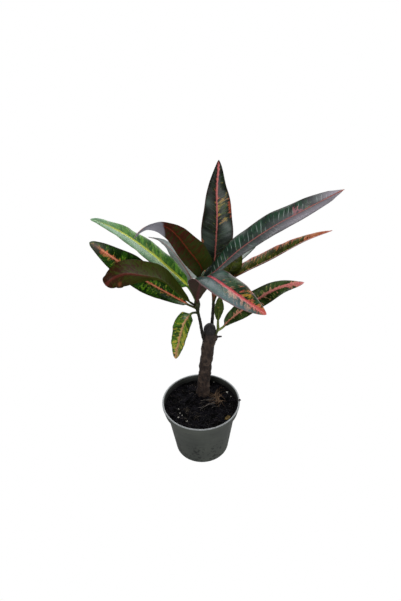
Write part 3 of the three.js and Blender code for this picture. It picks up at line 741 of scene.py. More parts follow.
def blotched(f, blade, look, kind, colour, other):
    """A colour with one kind of blotch over it. other chooses between the blotch's two colours."""
    field = f.moved(f.times(blade.marks[kind], 1.4), blade.blotch, 3.8)
    field = f.moved(f.add(field, look[kind + "_level"]), blade.speckle, 1.2)
    field = f.scaled(f.add(blade.outwards, -0.4), -look["thinning"], field)
    paint = f.blend(f.between(other, 0.4, 0.6), *look[kind])
    return f.over(colour, paint, field, 0.5, 0.85, 0.9)


def upper_colour(f, blade, look):
    ground = f.add(f.times(blade.patch, 0.6), f.times(blade.speckle, 0.4))
    colour = f.blend(f.between(ground, 0.43, 0.58), look["dark"], look["green"])
    colour = f.blend(f.times(blade.vein_line, look["vein_strength"]), colour, look["vein"])
    for kind, other in (("fresh", blade.speckle), ("pale", blade.speckle), ("warm", blade.patch)):
        colour = blotched(f, blade, look, kind, colour, other)
    # Painted reflection: the sheen colour is laid over the blade where its marks say, standing in for
    # the backdrop mirrored in the gloss.
    colour = f.blend(f.math("MINIMUM", blade.painted_sheen, 0.9), colour, look["painted_sheen"])
    rib = f.over(f.blend(blade.share, *look["rib"]), look["rib_fleck"], blade.speckle, 0.5, 0.7, 0.5)
    from_core = f.math("DIVIDE", blade.out, blade.rib_half)
    core_from = look["core_from"]
    rib = f.over(rib, look["rib_core"], from_core, core_from, core_from - 0.2, look["core_strength"])
    on_rib = f.times(f.between(blade.from_rib, 1.3, 0.75), blade.rib_shown)
    colour = f.blend(f.times(on_rib, f.between(blade.run, 0.0, 8.0)), colour, rib)
    return f.over(colour, look["edge"], blade.outwards, 0.88, 0.98, look["edge_strength"])


def under_colour(f, blade, look):
    mottle = f.add(f.times(blade.patch, 0.45), f.times(blade.speckle, 0.55))
    greener = f.scaled(blade.share, -0.25, f.add(mottle, look["under_level"]))
    colour = f.blend(f.between(greener, 0.45, 0.56), look["under"], look["under_green"])
    colour = f.blend(f.times(blade.vein_line, 0.2), colour, look["under_rib"])
    on_rib = f.times(f.between(blade.from_rib, 1.2, 0.6), blade.rib_shown)
    colour = f.blend(f.times(on_rib, 0.85), colour, look["under_rib"])
    colour = f.over(colour, look["warm"][0], blade.marks["warm"], 0.3, 1.0, 0.6)
    # Painted reflection: a paler colour over the underside's end, from tip_from on, standing in for
    # the backdrop's sheen on a turned-over tip.
    slanted = f.scaled(blade.across, look["tip_slant"], blade.share)
    return f.over(colour, look["tip"], slanted, look["tip_from"], look["tip_from"] + 0.03)


def leaf_finish(name, look, seed):
    """A blade's colours over its own veins: blotches run out along the side veins."""
    f = Finish(name, IOR=look["ior"])
    blade = blade_fields(f, look, seed)
    colour = f.blend(blade.upper, under_colour(f, blade, look), upper_colour(f, blade, look))
    colour = f.blend(f.between(blade.run, -4.0, 7.0), look["petiole"], colour)
    rough = f.moved(look["gloss"], blade.speckle, 0.22)
    rough = f.scaled(blade.upper, -0.2, f.add(rough, 0.2))
    grain = f.noise(f.combine(blade.run, blade.off, blade.upper), 1.1, 3.0, 0.6)
    height = f.scaled(blade.vein_line, -0.4, f.times(grain, 0.35))
    return f.done(colour, rough, height, 0.22, 0.8)


def pot_finish():
    """Grey plastic with faint rings from its mould, dirt low down, a painted highlight along the rim,
    and painted shade inside and under the collar's step.
    """
    f = Finish("pot_plastic", IOR=1.46)
    place = f.place()
    x, y, height = f.separate(place)
    mm = METRES_PER_MM
    top = POT["height"] * mm
    broad = f.noise(place, 22.0, 4.0, 0.6)
    fine = f.noise(place, 420.0, 3.0, 0.6)
    colour = f.blend(f.between(broad, 0.35, 0.7), "444844", "525650")
    bands = f.noise(f.stretched(place, (6.0, 6.0, 260.0)), 1.0, 2.0)
    colour = f.over(colour, "5e625e", bands, 0.45, 0.7, 0.2)
    dirt = f.between(f.noise(place, 60.0, 5.0, 0.7), 0.6, 0.72)
    low_down = f.between(height, 0.06, 0.0)
    colour = f.blend(f.times(dirt, f.scaled(low_down, 0.4, 0.18)), colour, "6a6558")
    specks = f.between(f.noise(place, 240.0, 0.0, 0.5), 0.6, 0.68)
    specks = f.times(specks, f.between(height, 0.06, 0.03))
    colour = f.blend(f.times(specks, 0.8), colour, "1c1e1c")
    scuffs = f.noise(f.stretched(place, (40.0, 40.0, 160.0)), 1.0, 6.0, 0.75, 0.6)
    colour = f.over(colour, "85888a", scuffs, 0.66, 0.74, 0.35)

    # Painted shade: the inside wall above the soil is darkened, standing in for the shade within the
    # pot.
    radius = f.math("SQRT", f.add(f.times(x, x), f.times(y, y)))
    slope = (collar_radius(LIP_BOTTOM) - collar_radius(COLLAR_BOTTOM)) / (LIP_BOTTOM - COLLAR_BOTTOM)
    wall_middle = f.scaled(height, slope, (collar_radius(0) - POT["wall"] / 2) * mm)
    above_soil = f.between(height, top - 0.5 * mm, (SOIL["level"] + 2) * mm)
    shaded_inside = f.times(f.math("LESS_THAN", radius, wall_middle), above_soil)
    shaded_inside = f.times(shaded_inside, f.math("GREATER_THAN", height, (COLLAR_BOTTOM + 0.5) * mm))
    colour = f.blend(f.times(shaded_inside, 0.85), colour, "141415")
    # Painted shade: a dark band just under the collar's step, where the overhang would shade the body.
    under_collar = (COLLAR_BOTTOM - POT["step_height"]) * mm
    from_shaded_step = f.math("ABSOLUTE", f.add(height, -under_collar))
    colour = f.over(colour, "303430", from_shaded_step, 1.4 * mm, 0.4 * mm, 0.25)
    # Painted highlight: the rim's top is paler, standing in for the backdrop's reflection on it.
    colour = f.over(colour, "a0a4a6", height, top - 1.5 * mm, top - 0.4 * mm, 0.85)
    relief = f.add(f.times(fine, 0.5), f.times(scuffs, 0.6))
    return f.done(colour, f.scaled(broad, 0.3, 0.38), relief, 0.12, 0.5)


def soil_finish(name, colours, roughness=0.85):
    """Dark damp peat, or what lies on it, in the colours given from dark to light."""
    f = Finish(name, IOR=1.15)
    place = f.place()
    broad = f.noise(place, 90.0, 4.0, 0.65)
    fine = f.noise(place, 900.0, 4.0, 0.7)
    dark, middle, light = colours
    colour = f.blend(f.between(broad, 0.4, 0.62), dark, middle)
    colour = f.over(colour, light, fine, 0.58, 0.76)
    return f.done(colour, f.scaled(fine, -0.35, roughness + 0.12), fine, 0.5, 0.7)


def bark_finish():
    f = Finish("trunk_bark", IOR=1.4)
    place = f.place()
    scar, knob, corky = f.separate(f.attribute("wood"))
    streaks = f.noise(f.stretched(place, (330.0, 330.0, 60.0)), 1.0, 5.0, 0.7, 0.3)
    patches = f.noise(place, 70.0, 4.0, 0.6)
    colour = f.blend(f.between(streaks, 0.38, 0.66), "1f1715", "3b2d26")
    colour = f.over(colour, "5a4a40", patches, 0.5, 0.66, 0.5)
    colour = f.blend(f.times(scar, 0.55), colour, "5a4a3e")
    colour = f.blend(f.times(corky, 0.6), colour, "6a5846")
    top = f.blend(f.between(streaks, 0.4, 0.65), "1a1718", "302c2e")
    colour = f.blend(knob, colour, top)
    relief = f.add(streaks, f.times(f.noise(place, 900.0, 3.0), 0.4))
    return f.done(colour, f.scaled(patches, 0.3, 0.58), relief, 0.5, 0.8)


def shoot_finish(name, bark, young):
    """A stem's skin, from bark at its foot to young skin at its tip."""
    f = Finish(name, IOR=1.32)
    _, _, share = f.separate(f.attribute("wood"))
    streaks = f.noise(f.stretched(f.place(), (420.0, 420.0, 90.0)), 1.0, 4.0, 0.6)
    younger = f.add(share, f.times(streaks, 0.6))
    colour = f.blend(f.between(younger, 0.75, 1.3), bark, young)
    colour = f.over(colour, "5a5446", streaks, 0.56, 0.7, 0.35)
    return f.done(colour, f.scaled(streaks, 0.3, 0.34), streaks, 0.25, 0.6)


# Pot

def body_radius(z):
    return POT["base_radius"] + BODY_SLOPE * z


def collar_radius(z):
    share = (z - COLLAR_BOTTOM) / (LIP_BOTTOM - COLLAR_BOTTOM)
    return mix(POT["collar_lower_radius"], POT["rim_radius"] - 0.6, share)


def inner_radius(z):
    wall = POT["wall"]
    if z >= COLLAR_BOTTOM + wall:
        return collar_radius(z) - wall
    if z >= COLLAR_BOTTOM:
        share = (z - COLLAR_BOTTOM) / wall
        return mix(body_radius(COLLAR_BOTTOM) - wall, collar_radius(z) - wall, share)
    return body_radius(z) - wall


def rounded(outline, radius, steps=5):
    """The outline with each corner but the ends replaced by a short curve."""
    points = np.asarray(outline, float)
    made = [points[0]]
    for before, corner, after in zip(points[:-2], points[1:-1], points[2:]):
        reach_in = min(radius, 0.45 * np.linalg.norm(before - corner))
        reach_out = min(radius, 0.45 * np.linalg.norm(after - corner))
        start = corner + reach_in * unit(before - corner)
        end = corner + reach_out * unit(after - corner)
        for t in np.linspace(0, 1, steps):
            made.append((1 - t) ** 2 * start + 2 * t * (1 - t) * corner + t**2 * end)
    made.append(points[-1])
    return np.array(made)


def pot_outline():
    wall = POT["wall"]
    rim = POT["rim_radius"]
    lip_inner = rim - POT["lip_width"]
    base = POT["base_radius"]
    rounding = POT["base_rounding"]
    floor = POT["floor"]
    return rounded([
        (0.01, 0),
        (POT["pad_radius"], 0),
        (POT["pad_radius"] + 1, POT["recess"]),
        (POT["foot_inner_radius"] - 1, POT["recess"]),
        (POT["foot_inner_radius"], 0),
        (base - rounding, 0),
        (base - rounding * 0.3, rounding * 0.3),
        (body_radius(rounding), rounding),
        (POT["body_upper_radius"], COLLAR_BOTTOM - POT["step_height"]),
        (POT["collar_lower_radius"], COLLAR_BOTTOM),
        (collar_radius(LIP_BOTTOM) - 0.1, LIP_BOTTOM - 0.4),
        (rim, LIP_BOTTOM + 0.4),
        (rim, POT["height"] - 0.6),
        (rim - 0.6, POT["height"]),
        (lip_inner + 0.5, POT["height"]),
        (lip_inner - 0.1, POT["height"] - 0.7),
        (inner_radius(LIP_BOTTOM), LIP_BOTTOM),
        (inner_radius(COLLAR_BOTTOM + wall), COLLAR_BOTTOM + wall),
        (inner_radius(COLLAR_BOTTOM), COLLAR_BOTTOM),
        (inner_radius(floor + 2), floor + 2),
        (inner_radius(floor) - 2, floor),
        (0.01, floor),
    ], POT["corner_rounding"])


def build_pot():
    outline = pot_outline()
    sides = POT["sides"]
    angle = full_turn(sides)
    points = circled(outline[:, :1], angle, outline[:, 1:])
    # moulded plastic is never quite round
    swell = 1 + 0.0012 * np.sin(2 * angle + 0.6) + 0.0007 * np.sin(5 * angle)
    points[..., :2] *= swell[None, :, None]
    body = points.reshape(-1, 3), ring_faces(len(outline), sides)
    shell = add_piece("pot_shell", body, pot_finish(), ["pot"])
    drains = []
    for turn in full_turn(POT["drains"]) + math.pi / POT["drains"]:
        x = POT["drain_circle"] * math.cos(turn)
        y = POT["drain_circle"] * math.sin(turn)
        through = [(x, y, -2), (x, y, 1), (x, y, POT["floor"] + 2)]
        drains.append(tube(through, POT["drain_radius"], 32))
    cut_away(shell, gathered(drains))


def cut_away(made, body):
    """Cuts a body out of a piece."""
    mesh = new_mesh("cutter", *body)
    face_outwards(mesh)
    cutter = placed("cutter", mesh)
    cut = made.modifiers.new("drains", "BOOLEAN")
    cut.operation = "DIFFERENCE"
    cut.solver = "EXACT"
    cut.object = cutter
    graph = bpy.context.evaluated_depsgraph_get()
    made.data = bpy.data.meshes.new_from_object(made.evaluated_get(graph))
    made.modifiers.clear()
    bpy.data.objects.remove(cutter)


# Soil

def soil_top(x, y):
    """The model's soil surface, without the fine crumbs."""
    from_trunk = np.hypot(x - TRUNK_FOOT[0], y - TRUNK_FOOT[1])
    at_wall = smooth((np.hypot(x, y) - 42) / 12)
    crumbs = np.sin(x * 0.31 + y * 0.17) * np.cos(y * 0.27 - x * 0.11)
    crumbs = crumbs + 0.6 * np.sin(x * 0.63 - y * 0.41 + 1.3) + 0.4 * np.cos(y * 0.77 + x * 0.52)
    mound = SOIL["mound"] * bell(from_trunk, 0, SOIL["mound_radius"])
    return SOIL["level"] + mound + SOIL["bump"] * crumbs * mix(1, 0.25, at_wall) - 0.3 * at_wall


def soil_crumbs(x, y):
    """Height of the crumbs and pits over the soil's broad surface."""
    points = np.stack([x, y, np.zeros_like(x)], -1)
    lumps = layered_noise(points, 5.5, 4, 11)
    ridged = 1 - 2 * np.abs(layered_noise(points, 3.2, 3, 31))
    fade = mix(1, 0.5, smooth((np.hypot(x, y) - 50) / 5))
    return (1.15 * lumps + 0.45 * ridged) * fade


def soil_height(x, y):
    return soil_top(x, y) + soil_crumbs(x, y)


def build_soil():
    """A closed body of soil: its surface is a square grid drawn out to a circle."""
    cells = SOIL["cells"]
    gap = SOIL["wall_gap"]
    edge = inner_radius(SOIL["level"]) - gap
    line = np.linspace(-1, 1, cells)
    east, north = np.meshgrid(line, line)
    x = edge * east * np.sqrt(1 - north * north / 2)
    y = edge * north * np.sqrt(1 - east * east / 2)
    points = np.stack([x, y, soil_height(x, y)], -1).reshape(-1, 3)
    faces, border = grid(cells, cells)
    faces = faces.tolist()
    angle = np.arctan2(points[border, 1], points[border, 0])
    rings = [  # height and gap to the wall, from the top down
        (SOIL["level"] - 2.5, gap),
        (COLLAR_BOTTOM + POT["wall"] - 0.3, 0.3),
        (COLLAR_BOTTOM - 0.4, 0.4),
        (POT["floor"] + 2.3, 0.4),
        (POT["floor"] + 0.3, 2.4),
    ]
    upper = border
    for z, inset in rings:
        lower = len(points) + np.arange(len(border))
        walls = [upper, lower, np.roll(lower, -1), np.roll(upper, -1)]
        faces.extend(np.stack(walls, -1).tolist())
        points = np.vstack([points, circled(inner_radius(z) - inset, angle, z)])
        upper = lower
    faces.append(upper.tolist())
    material = soil_finish("soil_peat", ("020203", "131217", "524a4c"))
    add_piece("soil_bed", (points, faces), material, ["soil"])


def lump(generator, shape, place, size, roughness=0.28, flat=0.75):
    """The body of a small irregular lump at place, in any turn."""
    points, faces = shape
    seed = int(generator.integers(1, 9999))
    bumps = 1 + roughness * noise_at(points + 5, 0.9, seed)
    bumps = bumps + 0.5 * roughness * noise_at(points, 0.4, seed)
    spread = np.array([1, generator.uniform(0.6, 1), flat * generator.uniform(0.7, 1)])
    turn = generator.uniform(0, 2 * np.pi)
    cosine, sine = math.cos(turn), math.sin(turn)
    spin = np.array([[cosine, -sine, 0], [sine, cosine, 0], [0, 0, 1]])
    return (points * bumps[:, None] * spread * size) @ spin.T + place, faces


def scattered(generator, count, reach):
    """Places spread evenly over the soil, away from the trunk."""
    places = []
    while len(places) < count:
        x, y = generator.uniform(-reach, reach, 2)
        from_trunk = math.hypot(x - TRUNK_FOOT[0], y - TRUNK_FOOT[1])
        if math.hypot(x, y) < reach and from_trunk > TRUNK_CLEARANCE:
            places.append((x, y))
    return np.array(places)


def build_crumbs():
    generator = np.random.default_rng(7)
    shape = ball(2)
    for name, count, least, most, colours in CRUMBS:
        crumbs = []
        for x, y in scattered(generator, count, SOIL_REACH):
            size = least + (most - least) * generator.uniform() ** 2
            place = np.array([x, y, soil_height(x, y) + 0.1 * size])
            crumbs.append(lump(generator, shape, place, size))
        add_piece(name, gathered(crumbs), soil_finish(name, colours))


def build_perlite():
    generator = np.random.default_rng(17)
    shape = ball(3)
    grains = []
    for i, (x, y) in enumerate(PERLITE):
        size = 1.15 + 0.35 * math.sin(i * 2.1)
        place = np.array([x, y, soil_height(x, y) + 0.5 * size])
        grains.append(lump(generator, shape, place, size, 0.4, 0.9))
    material = soil_finish("perlite_white", ("8a8880", "b4b2aa", "d8d6cf"), 0.7)
    add_piece("perlite", gathered(grains), material)


def strand(generator, start, heading, length, lift, curl, steps=14):
    """Points of one fibre that wanders over the soil from a start in plan."""
    x, y = start
    points = []
    turn = heading
    bend = generator.uniform(-curl, curl)
    for i in range(steps):
        arch = lift * math.sin(math.pi * i / (steps - 1)) + 0.35
        points.append((x, y, soil_height(x, y) + arch))
        turn += bend / steps * 3 + generator.uniform(-curl, curl) * 0.5
        x += math.cos(turn) * length / steps
        y += math.sin(turn) * length / steps
        if math.hypot(x, y) > SOIL_REACH:
            break
    return points


def add_fibre(fibres, points, thick, thin):
    """Adds a fibre's body, unless the pot's wall has cut the fibre too short."""
    if len(points) > 4:
        fibres.append(tube(points, np.linspace(thick, thin, len(points)), 5))


def build_fibres():
    """Dry roots: a tuft right of the trunk, pale strands from it, small stars and stray hairs."""
    generator = np.random.default_rng(29)
    tuft = []
    for turn in full_turn(ROOT_TUFT["strands"]):
        heading = turn + generator.uniform(-0.2, 0.2)
        start = np.array(ROOT_TUFT["place"]) + generator.normal(0, (1.6, 5.5))
        length = generator.uniform(8, 20)
        lift = generator.uniform(1.0, 5)
        add_fibre(tuft, strand(generator, start, heading, length, lift, 0.35), 0.38, 0.16)
    pale = []
    for start, heading, length in ROOT_STRANDS:
        add_fibre(pale, strand(generator, start, heading, length, 1.4, 0.12, 22), 0.36, 0.16)
    hairs = []
    for centre, count, length in ROOT_STARS:
        for heading in full_turn(count):
            add_fibre(hairs, strand(generator, centre, heading, length, 1.2, 0.6, 9), 0.2, 0.12)
    for place in scattered(generator, STRAY_HAIRS, 50):
        heading = generator.uniform(0, 2 * math.pi)
        length = generator.uniform(3, 10)
        add_fibre(hairs, strand(generator, place, heading, length, 0.5, 0.7, 9), 0.16, 0.1)
    for name, fibres, skin, colours, slot in [
        ("root_tuft", tuft, "root_brown", ("33261c", "7a6450", "b8a898"), "trunk"),
        ("root_strands", pale, "root_pale", ("625c58", "989088", "c4beb8"), "trunk"),
        ("root_hairs", hairs, "root_dull", ("3a342e", "6a6258", "a09888"), "soil"),
    ]:
        add_piece(name, gathered(fibres), soil_finish(skin, colours, 0.8))


def build_debris():
    """A scrap of dead leaf on the soil and a crumb left on the rim."""
    rows = DEAD_LEAF["rows"]
    columns = DEAD_LEAF["columns"]
    reach = DEAD_LEAF["reach"]
    along, across = np.meshgrid(np.linspace(-1, 1, rows), np.linspace(-1, 1, columns), indexing="ij")
    x = DEAD_LEAF["place"][0] + reach * along * 0.8 + 1.6 * across * (1 - along * along)
    y = DEAD_LEAF["place"][1] + reach * along * 0.6 - 2.6 * across * (1 - 0.8 * along * along)
    z = soil_height(x, y) * 0.3 + 0.7 * soil_height(*DEAD_LEAF["place"])
    z = z + 1.2 + 0.9 * across * across + 0.5 * np.sin(4 * along)
    top = np.stack([x, y, z], -1).reshape(-1, 3)
    below = top - (0, 0, DEAD_LEAF["thickness"])
    quads, border = grid(rows, columns)
    following = np.roll(border, -1)
    lower = rows * columns
    walls = np.stack([border, following, following + lower, border + lower], -1)
    faces = np.concatenate([quads, quads[:, ::-1] + lower, walls]).tolist()
    dry = soil_finish("dead_leaf_dry", ("5a4a2c", "8a7444", "b89c5c"), 0.75)
    add_piece("dead_leaf_scrap", (np.vstack([top, below]), faces), dry)

    place = np.array([*RIM_CRUMB, POT["height"] + 0.4])
    crumb = lump(np.random.default_rng(41), ball(3), place, 1.9, 0.35, 0.8)
    dark = soil_finish("rim_crumb_dark", ("161012", "2a1c20", "3c2c2c"))
    add_piece("rim_crumb", crumb, dark)


# Trunk and shoots

def limb_stations(length, end, shaft_count, end_count, crowding):
    """Distances up a limb, even at first and then ever closer over its rounded end."""
    shaft = np.linspace(0, length - end, shaft_count, endpoint=False)
    tip = length - end * (1 - np.linspace(0, 1, end_count)) ** crowding
    return np.concatenate([shaft, tip])


def limb_body(curve, distances, radius):
    """The body of a round limb, with a radius for each distance and angle."""
    start = np.array([0, -1.0, 0])
    sides = radius.shape[1]
    rings = rings_about(curve.at(distances), curve.along(distances), start, radius, sides)
    return rings.reshape(-1, 3), ring_faces(len(distances), sides)


def from_scar(number, scars, distance, angle):
    """How far a point is from the middle of one leaf scar, as a share of the scar's size."""
    turn = angle - SCAR_TURN * number - scars["turn"]
    sideways = scars["radius"] * (np.mod(turn + np.pi, 2 * np.pi) - np.pi)
    centre = scars["first"] + scars["spacing"] * number
    return np.sqrt((sideways / scars["width"]) ** 2 + ((distance - centre) / scars["height"]) ** 2)


def trunk_radius(distance, angle, length):
    """The model's trunk, before the fine bark."""
    to_top = length - distance
    scars = 0.35 * np.sin(distance * 0.42 + 1) * np.cos(angle * 2 + distance * 0.05)
    knots = 0.3 * np.sin(distance * 0.19 + angle * 3)
    sideways = 0.5 + 0.5 * np.abs(np.sin(angle))
    shoulder = 2.9 * bell(to_top, 25, 5) * sideways
    neck = -bell(to_top, 15.5, 2.6)
    foot = 1.4 * bell(distance, 4, 7)
    radius = TRUNK["radius"] + scars + knots + shoulder + neck + foot
    share = np.clip(to_top / TRUNK["knob_length"], 0, 1)
    dome = TRUNK["knob_radius"] * np.sqrt(np.maximum(0, 1 - (1 - share) ** 2.4))
    return np.where(share < 1, mix(dome, radius, smooth((share - 0.55) / 0.45)), radius)


def bark_relief(distance, angle, length):
    """Relief of the bark, with how much of it is leaf scar and how much corky spot."""
    around = circled(TRUNK_SCARS["radius"], angle, distance)
    relief = 0.3 * layered_noise(around * (1, 1, 0.22), 1.9, 4, 3)
    relief = relief + 0.35 * layered_noise(around, 6, 2, 9)
    scar = np.zeros_like(relief)
    for i in range(TRUNK_SCARS["count"]):
        apart = from_scar(i, TRUNK_SCARS, distance, angle)
        relief = relief + 0.5 * bell(apart, 1, 0.3) - 0.35 * bell(apart, 0, 0.7)
        scar = np.maximum(scar, bell(apart, 0.9, 0.45))
    corky = smooth((layered_noise(around * (1, 1, 0.8), 1.6, 1, 77) - 0.62) / 0.2)
    relief = relief + 0.3 * corky
    return relief * smooth((length - distance) / 2), scar, corky


def build_trunk():
    curve = Run(TRUNK["route"])
    knob = TRUNK["knob_length"]
    distances = limb_stations(curve.length, knob, TRUNK["stations"], TRUNK["knob_stations"], 1.7)
    distance = distances[:, None]
    angle = full_turn(TRUNK["sides"])[None]
    radius = trunk_radius(distance, angle, curve.length)
    relief, scar, corky = bark_relief(distance, angle, curve.length)
    body = limb_body(curve, distances, np.maximum(radius + relief, 0.05))
    on_knob = smooth((distance - curve.length + knob + 2) / 5) + 0 * angle
    wood = np.stack([scar * (1 - on_knob), on_knob, corky * (1 - on_knob)], -1)
    add_piece("trunk_wood", body, bark_finish(), ["trunk"], {"wood": wood})


def build_twig():
    stub = Run(STUB["route"])
    steps = np.linspace(0, stub.length, 24)
    thin = mix(STUB["radius"], STUB["tip"], steps / stub.length)
    thin = thin * (1 + 0.12 * np.sin(steps * 2.3)) * smooth((stub.length - steps) / 0.8 + 0.15)
    body = tube(stub.at(steps), thin, 14)
    wood = np.zeros((len(body[0]), 3))
    skin = shoot_finish("twig_dead", "241d19", "3a3029")
    add_piece("trunk_twig", body, skin, values={"wood": wood})


def shoot_radius(shoot, distance, angle, length, seed):
    """A young stem: nodes, a swelling below its crown, fine relief, leaf scars, a rounded tip."""
    to_tip = length - distance
    end = SHOOT["tip_length"]
    radius = mix(shoot["radius"], shoot["tip"], distance / length)
    radius = radius + 0.22 * np.maximum(0, np.sin(distance * 0.7))
    radius = radius + shoot["swell"] * bell(to_tip, 22, 9)
    radius = radius * np.where(to_tip < end, np.sqrt(np.maximum(0.001, to_tip / end)), 1)
    around = circled(2.4, angle, distance * 0.35)
    radius = radius + 0.12 * layered_noise(around, 0.9, 3, seed) * smooth(to_tip / 3)
    for i in range(SHOOT_SCARS["count"]):
        radius = radius + 0.28 * bell(from_scar(i, SHOOT_SCARS, distance, angle), 0.9, 0.4)
    return radius


def build_shoots():
    angle = full_turn(SHOOT["sides"])[None]
    counts = SHOOT["stations"], SHOOT["tip_stations"]
    for number, (name, shoot) in enumerate(SHOOTS.items()):
        curve = Run(shoot["route"])
        distances = limb_stations(curve.length, SHOOT["tip_length"], *counts, 1.6)
        radius = shoot_radius(shoot, distances[:, None], angle, curve.length, 60 + number)
        share = distances[:, None] / curve.length + 0 * angle
        wood = np.stack([0 * share, 0 * share, share], -1)
        skin = shoot_finish(name + "_skin", shoot["bark"], shoot["young"])
        body = limb_body(curve, distances, radius)
        add_piece(name + "_stem", body, skin, [name], {"wood": wood})


def build_bud():
    """A cream bud at the foot of a petiole."""
    body = lump(np.random.default_rng(5), ball(3), np.array(BUD), 1.5, 0.12, 1)
    cream = soil_finish("bud_cream", ("8a8468", "b0aa88", "c8c2a0"), 0.5)
    add_piece("shoot_left_bud", body, cream)


# Leaves. share or t is the share along a blade, and across or u the share across it, -1 to 1.

def half_width(leaf, share, across):
    """How far the blade reaches to either side of its midrib."""
    power = math.log(0.5) / math.log(leaf["widest"])
    outline = np.sin(np.pi * share**power) ** leaf["full"]
    turn = leaf["waves"] * share + np.where(across > 0, 0.3, 0)
    base = mix(leaf["base_share"], 1, smooth(share / LEAF["base_reach"]))
    tip = np.sqrt(np.clip((1 - share) / leaf["tip_reach"], 0, 1))
    return leaf["width"] / 2 * outline * base * tip * (1 + leaf["ripple"] * np.sin(2 * np.pi * turn))


def margin_wave(leaf, share, across, generator):
    """The model's slow wave, with a finer uneven one towards the margin."""
    turn = 2 * np.pi * (leaf["waves"] * share + np.where(across > 0, 0.25, 0))
    wave = leaf["wave"] * across**2 * np.sin(turn)
    for cycles, height in ((6.3, 0.28), (9.7, 0.18), (14.1, 0.1)):
        start = generator.uniform(0, 2 * np.pi, 2)
        start = np.where(across > 0, start[0], start[1])
        wave = wave + height * np.abs(across) ** 1.6 * np.sin(2 * np.pi * cycles * share + start)
    return wave * np.sin(np.pi * share) ** 0.7


def marks_at(marks, leaf, length, run, out, across):
    """Strength of the marks that are given one by one, drawn out along the side veins."""
    field = np.zeros_like(run)
    slant = LEAF["vein_slant"]
    vein = run - slant * np.abs(out)
    for t, u, reach, spread, strength in marks:
        middle = t * length - slant * abs(u) * float(half_width(leaf, t, u))
        apart = ((vein - middle) / (reach * length)) ** 2 + ((across - u) / spread) ** 2
        field = np.maximum(field, strength * np.exp(-0.5 * apart))
    return field


def leaf_directions(leaf, curve, distances, t):
    """Up from the blade and to its right. They follow the model's own stations."""
    stalk = leaf["stalk"]
    count = LEAF["model_stations"]
    stations = np.concatenate([[0, stalk * 0.4, stalk * 0.8], np.linspace(stalk, curve.length, count)])
    middle = 3 + count // 2
    known = curve.along(stations)
    up = np.array([0, 0, 1.0])
    seed = unit(up - (up @ known[middle]) * known[middle])
    seed = turned(seed[None], known[middle][None], np.radians([leaf["roll"]]))[0]
    sides = carried(known, middle, seed)
    along = curve.along(distances)
    normal = read_along(stations, sides, distances)
    normal = unit(normal - np.sum(normal * along, axis=1, keepdims=True) * along)
    turn = leaf["twist"] * (t - 0.5) + leaf["base_turn"] * (1 - t) ** 4
    normal = turned(normal, along, np.radians(turn))
    return normal, np.cross(along, normal)


def blade_section(leaf, run, share, u, generator):
    """How far the folded blade reaches out and up, and how far over its own surface."""
    closing = smooth((1 - share) / LEAF["closing"])
    fold = np.radians(mix(leaf["fold"], leaf.get("fold_tip", leaf["fold"]), share)) * closing
    half = np.maximum(half_width(leaf, share, u), LEAF["least_half_width"] + 0 * u)
    soft = np.sqrt(u * u + 0.0016) - 0.04
    camber = LEAF["camber"] * half * (np.abs(u) - u * u) * 4
    rise = half * soft * np.sin(fold) + camber * np.cos(fold) + margin_wave(leaf, share, u, generator)
    out = half * u * np.cos(fold) - np.sign(u) * camber * np.sin(fold)
    off = half * u
    vein = run - LEAF["vein_slant"] * np.abs(off) + np.where(off < 0, LEAF["vein_spacing"] / 2, 0)
    quilt = 0.5 - 0.5 * np.cos(2 * np.pi * vein / LEAF["vein_spacing"])
    rise = rise + LEAF["quilting"] * quilt * smooth(np.abs(u) * 6) * smooth((1 - np.abs(u)) * 5)
    return out, rise, off


def blade_skins(sheet, normal, share, u, off):
    """The blade's upper and lower face about its middle sheet, with the midrib beneath."""
    facing = unit(np.cross(np.gradient(sheet, axis=1), np.gradient(sheet, axis=0)))
    facing = facing * np.sign(np.sum(facing * normal[:, None], axis=-1, keepdims=True))
    rounding = np.sqrt(np.maximum(0, 1 - np.abs(u) ** 14))
    skin = LEAF["thickness"] / 2 * rounding * mix(1, 0.7, share)
    rib = bell(off, 0, mix(LEAF["rib_reach"], 0.6, share)) * mix(1, 0.25, share)
    upper = sheet + facing * (skin - LEAF["groove"] * rib)[..., None]
    lower = sheet - facing * (skin + LEAF["rib_depth"] * rib)[..., None]
    return upper, lower


def both_sides(top, bottom=None):
    """Rings of values over the upper side and back under the lower one."""
    bottom = top if bottom is None else bottom
    return np.concatenate([top, bottom[:, -2:0:-1]], axis=1)


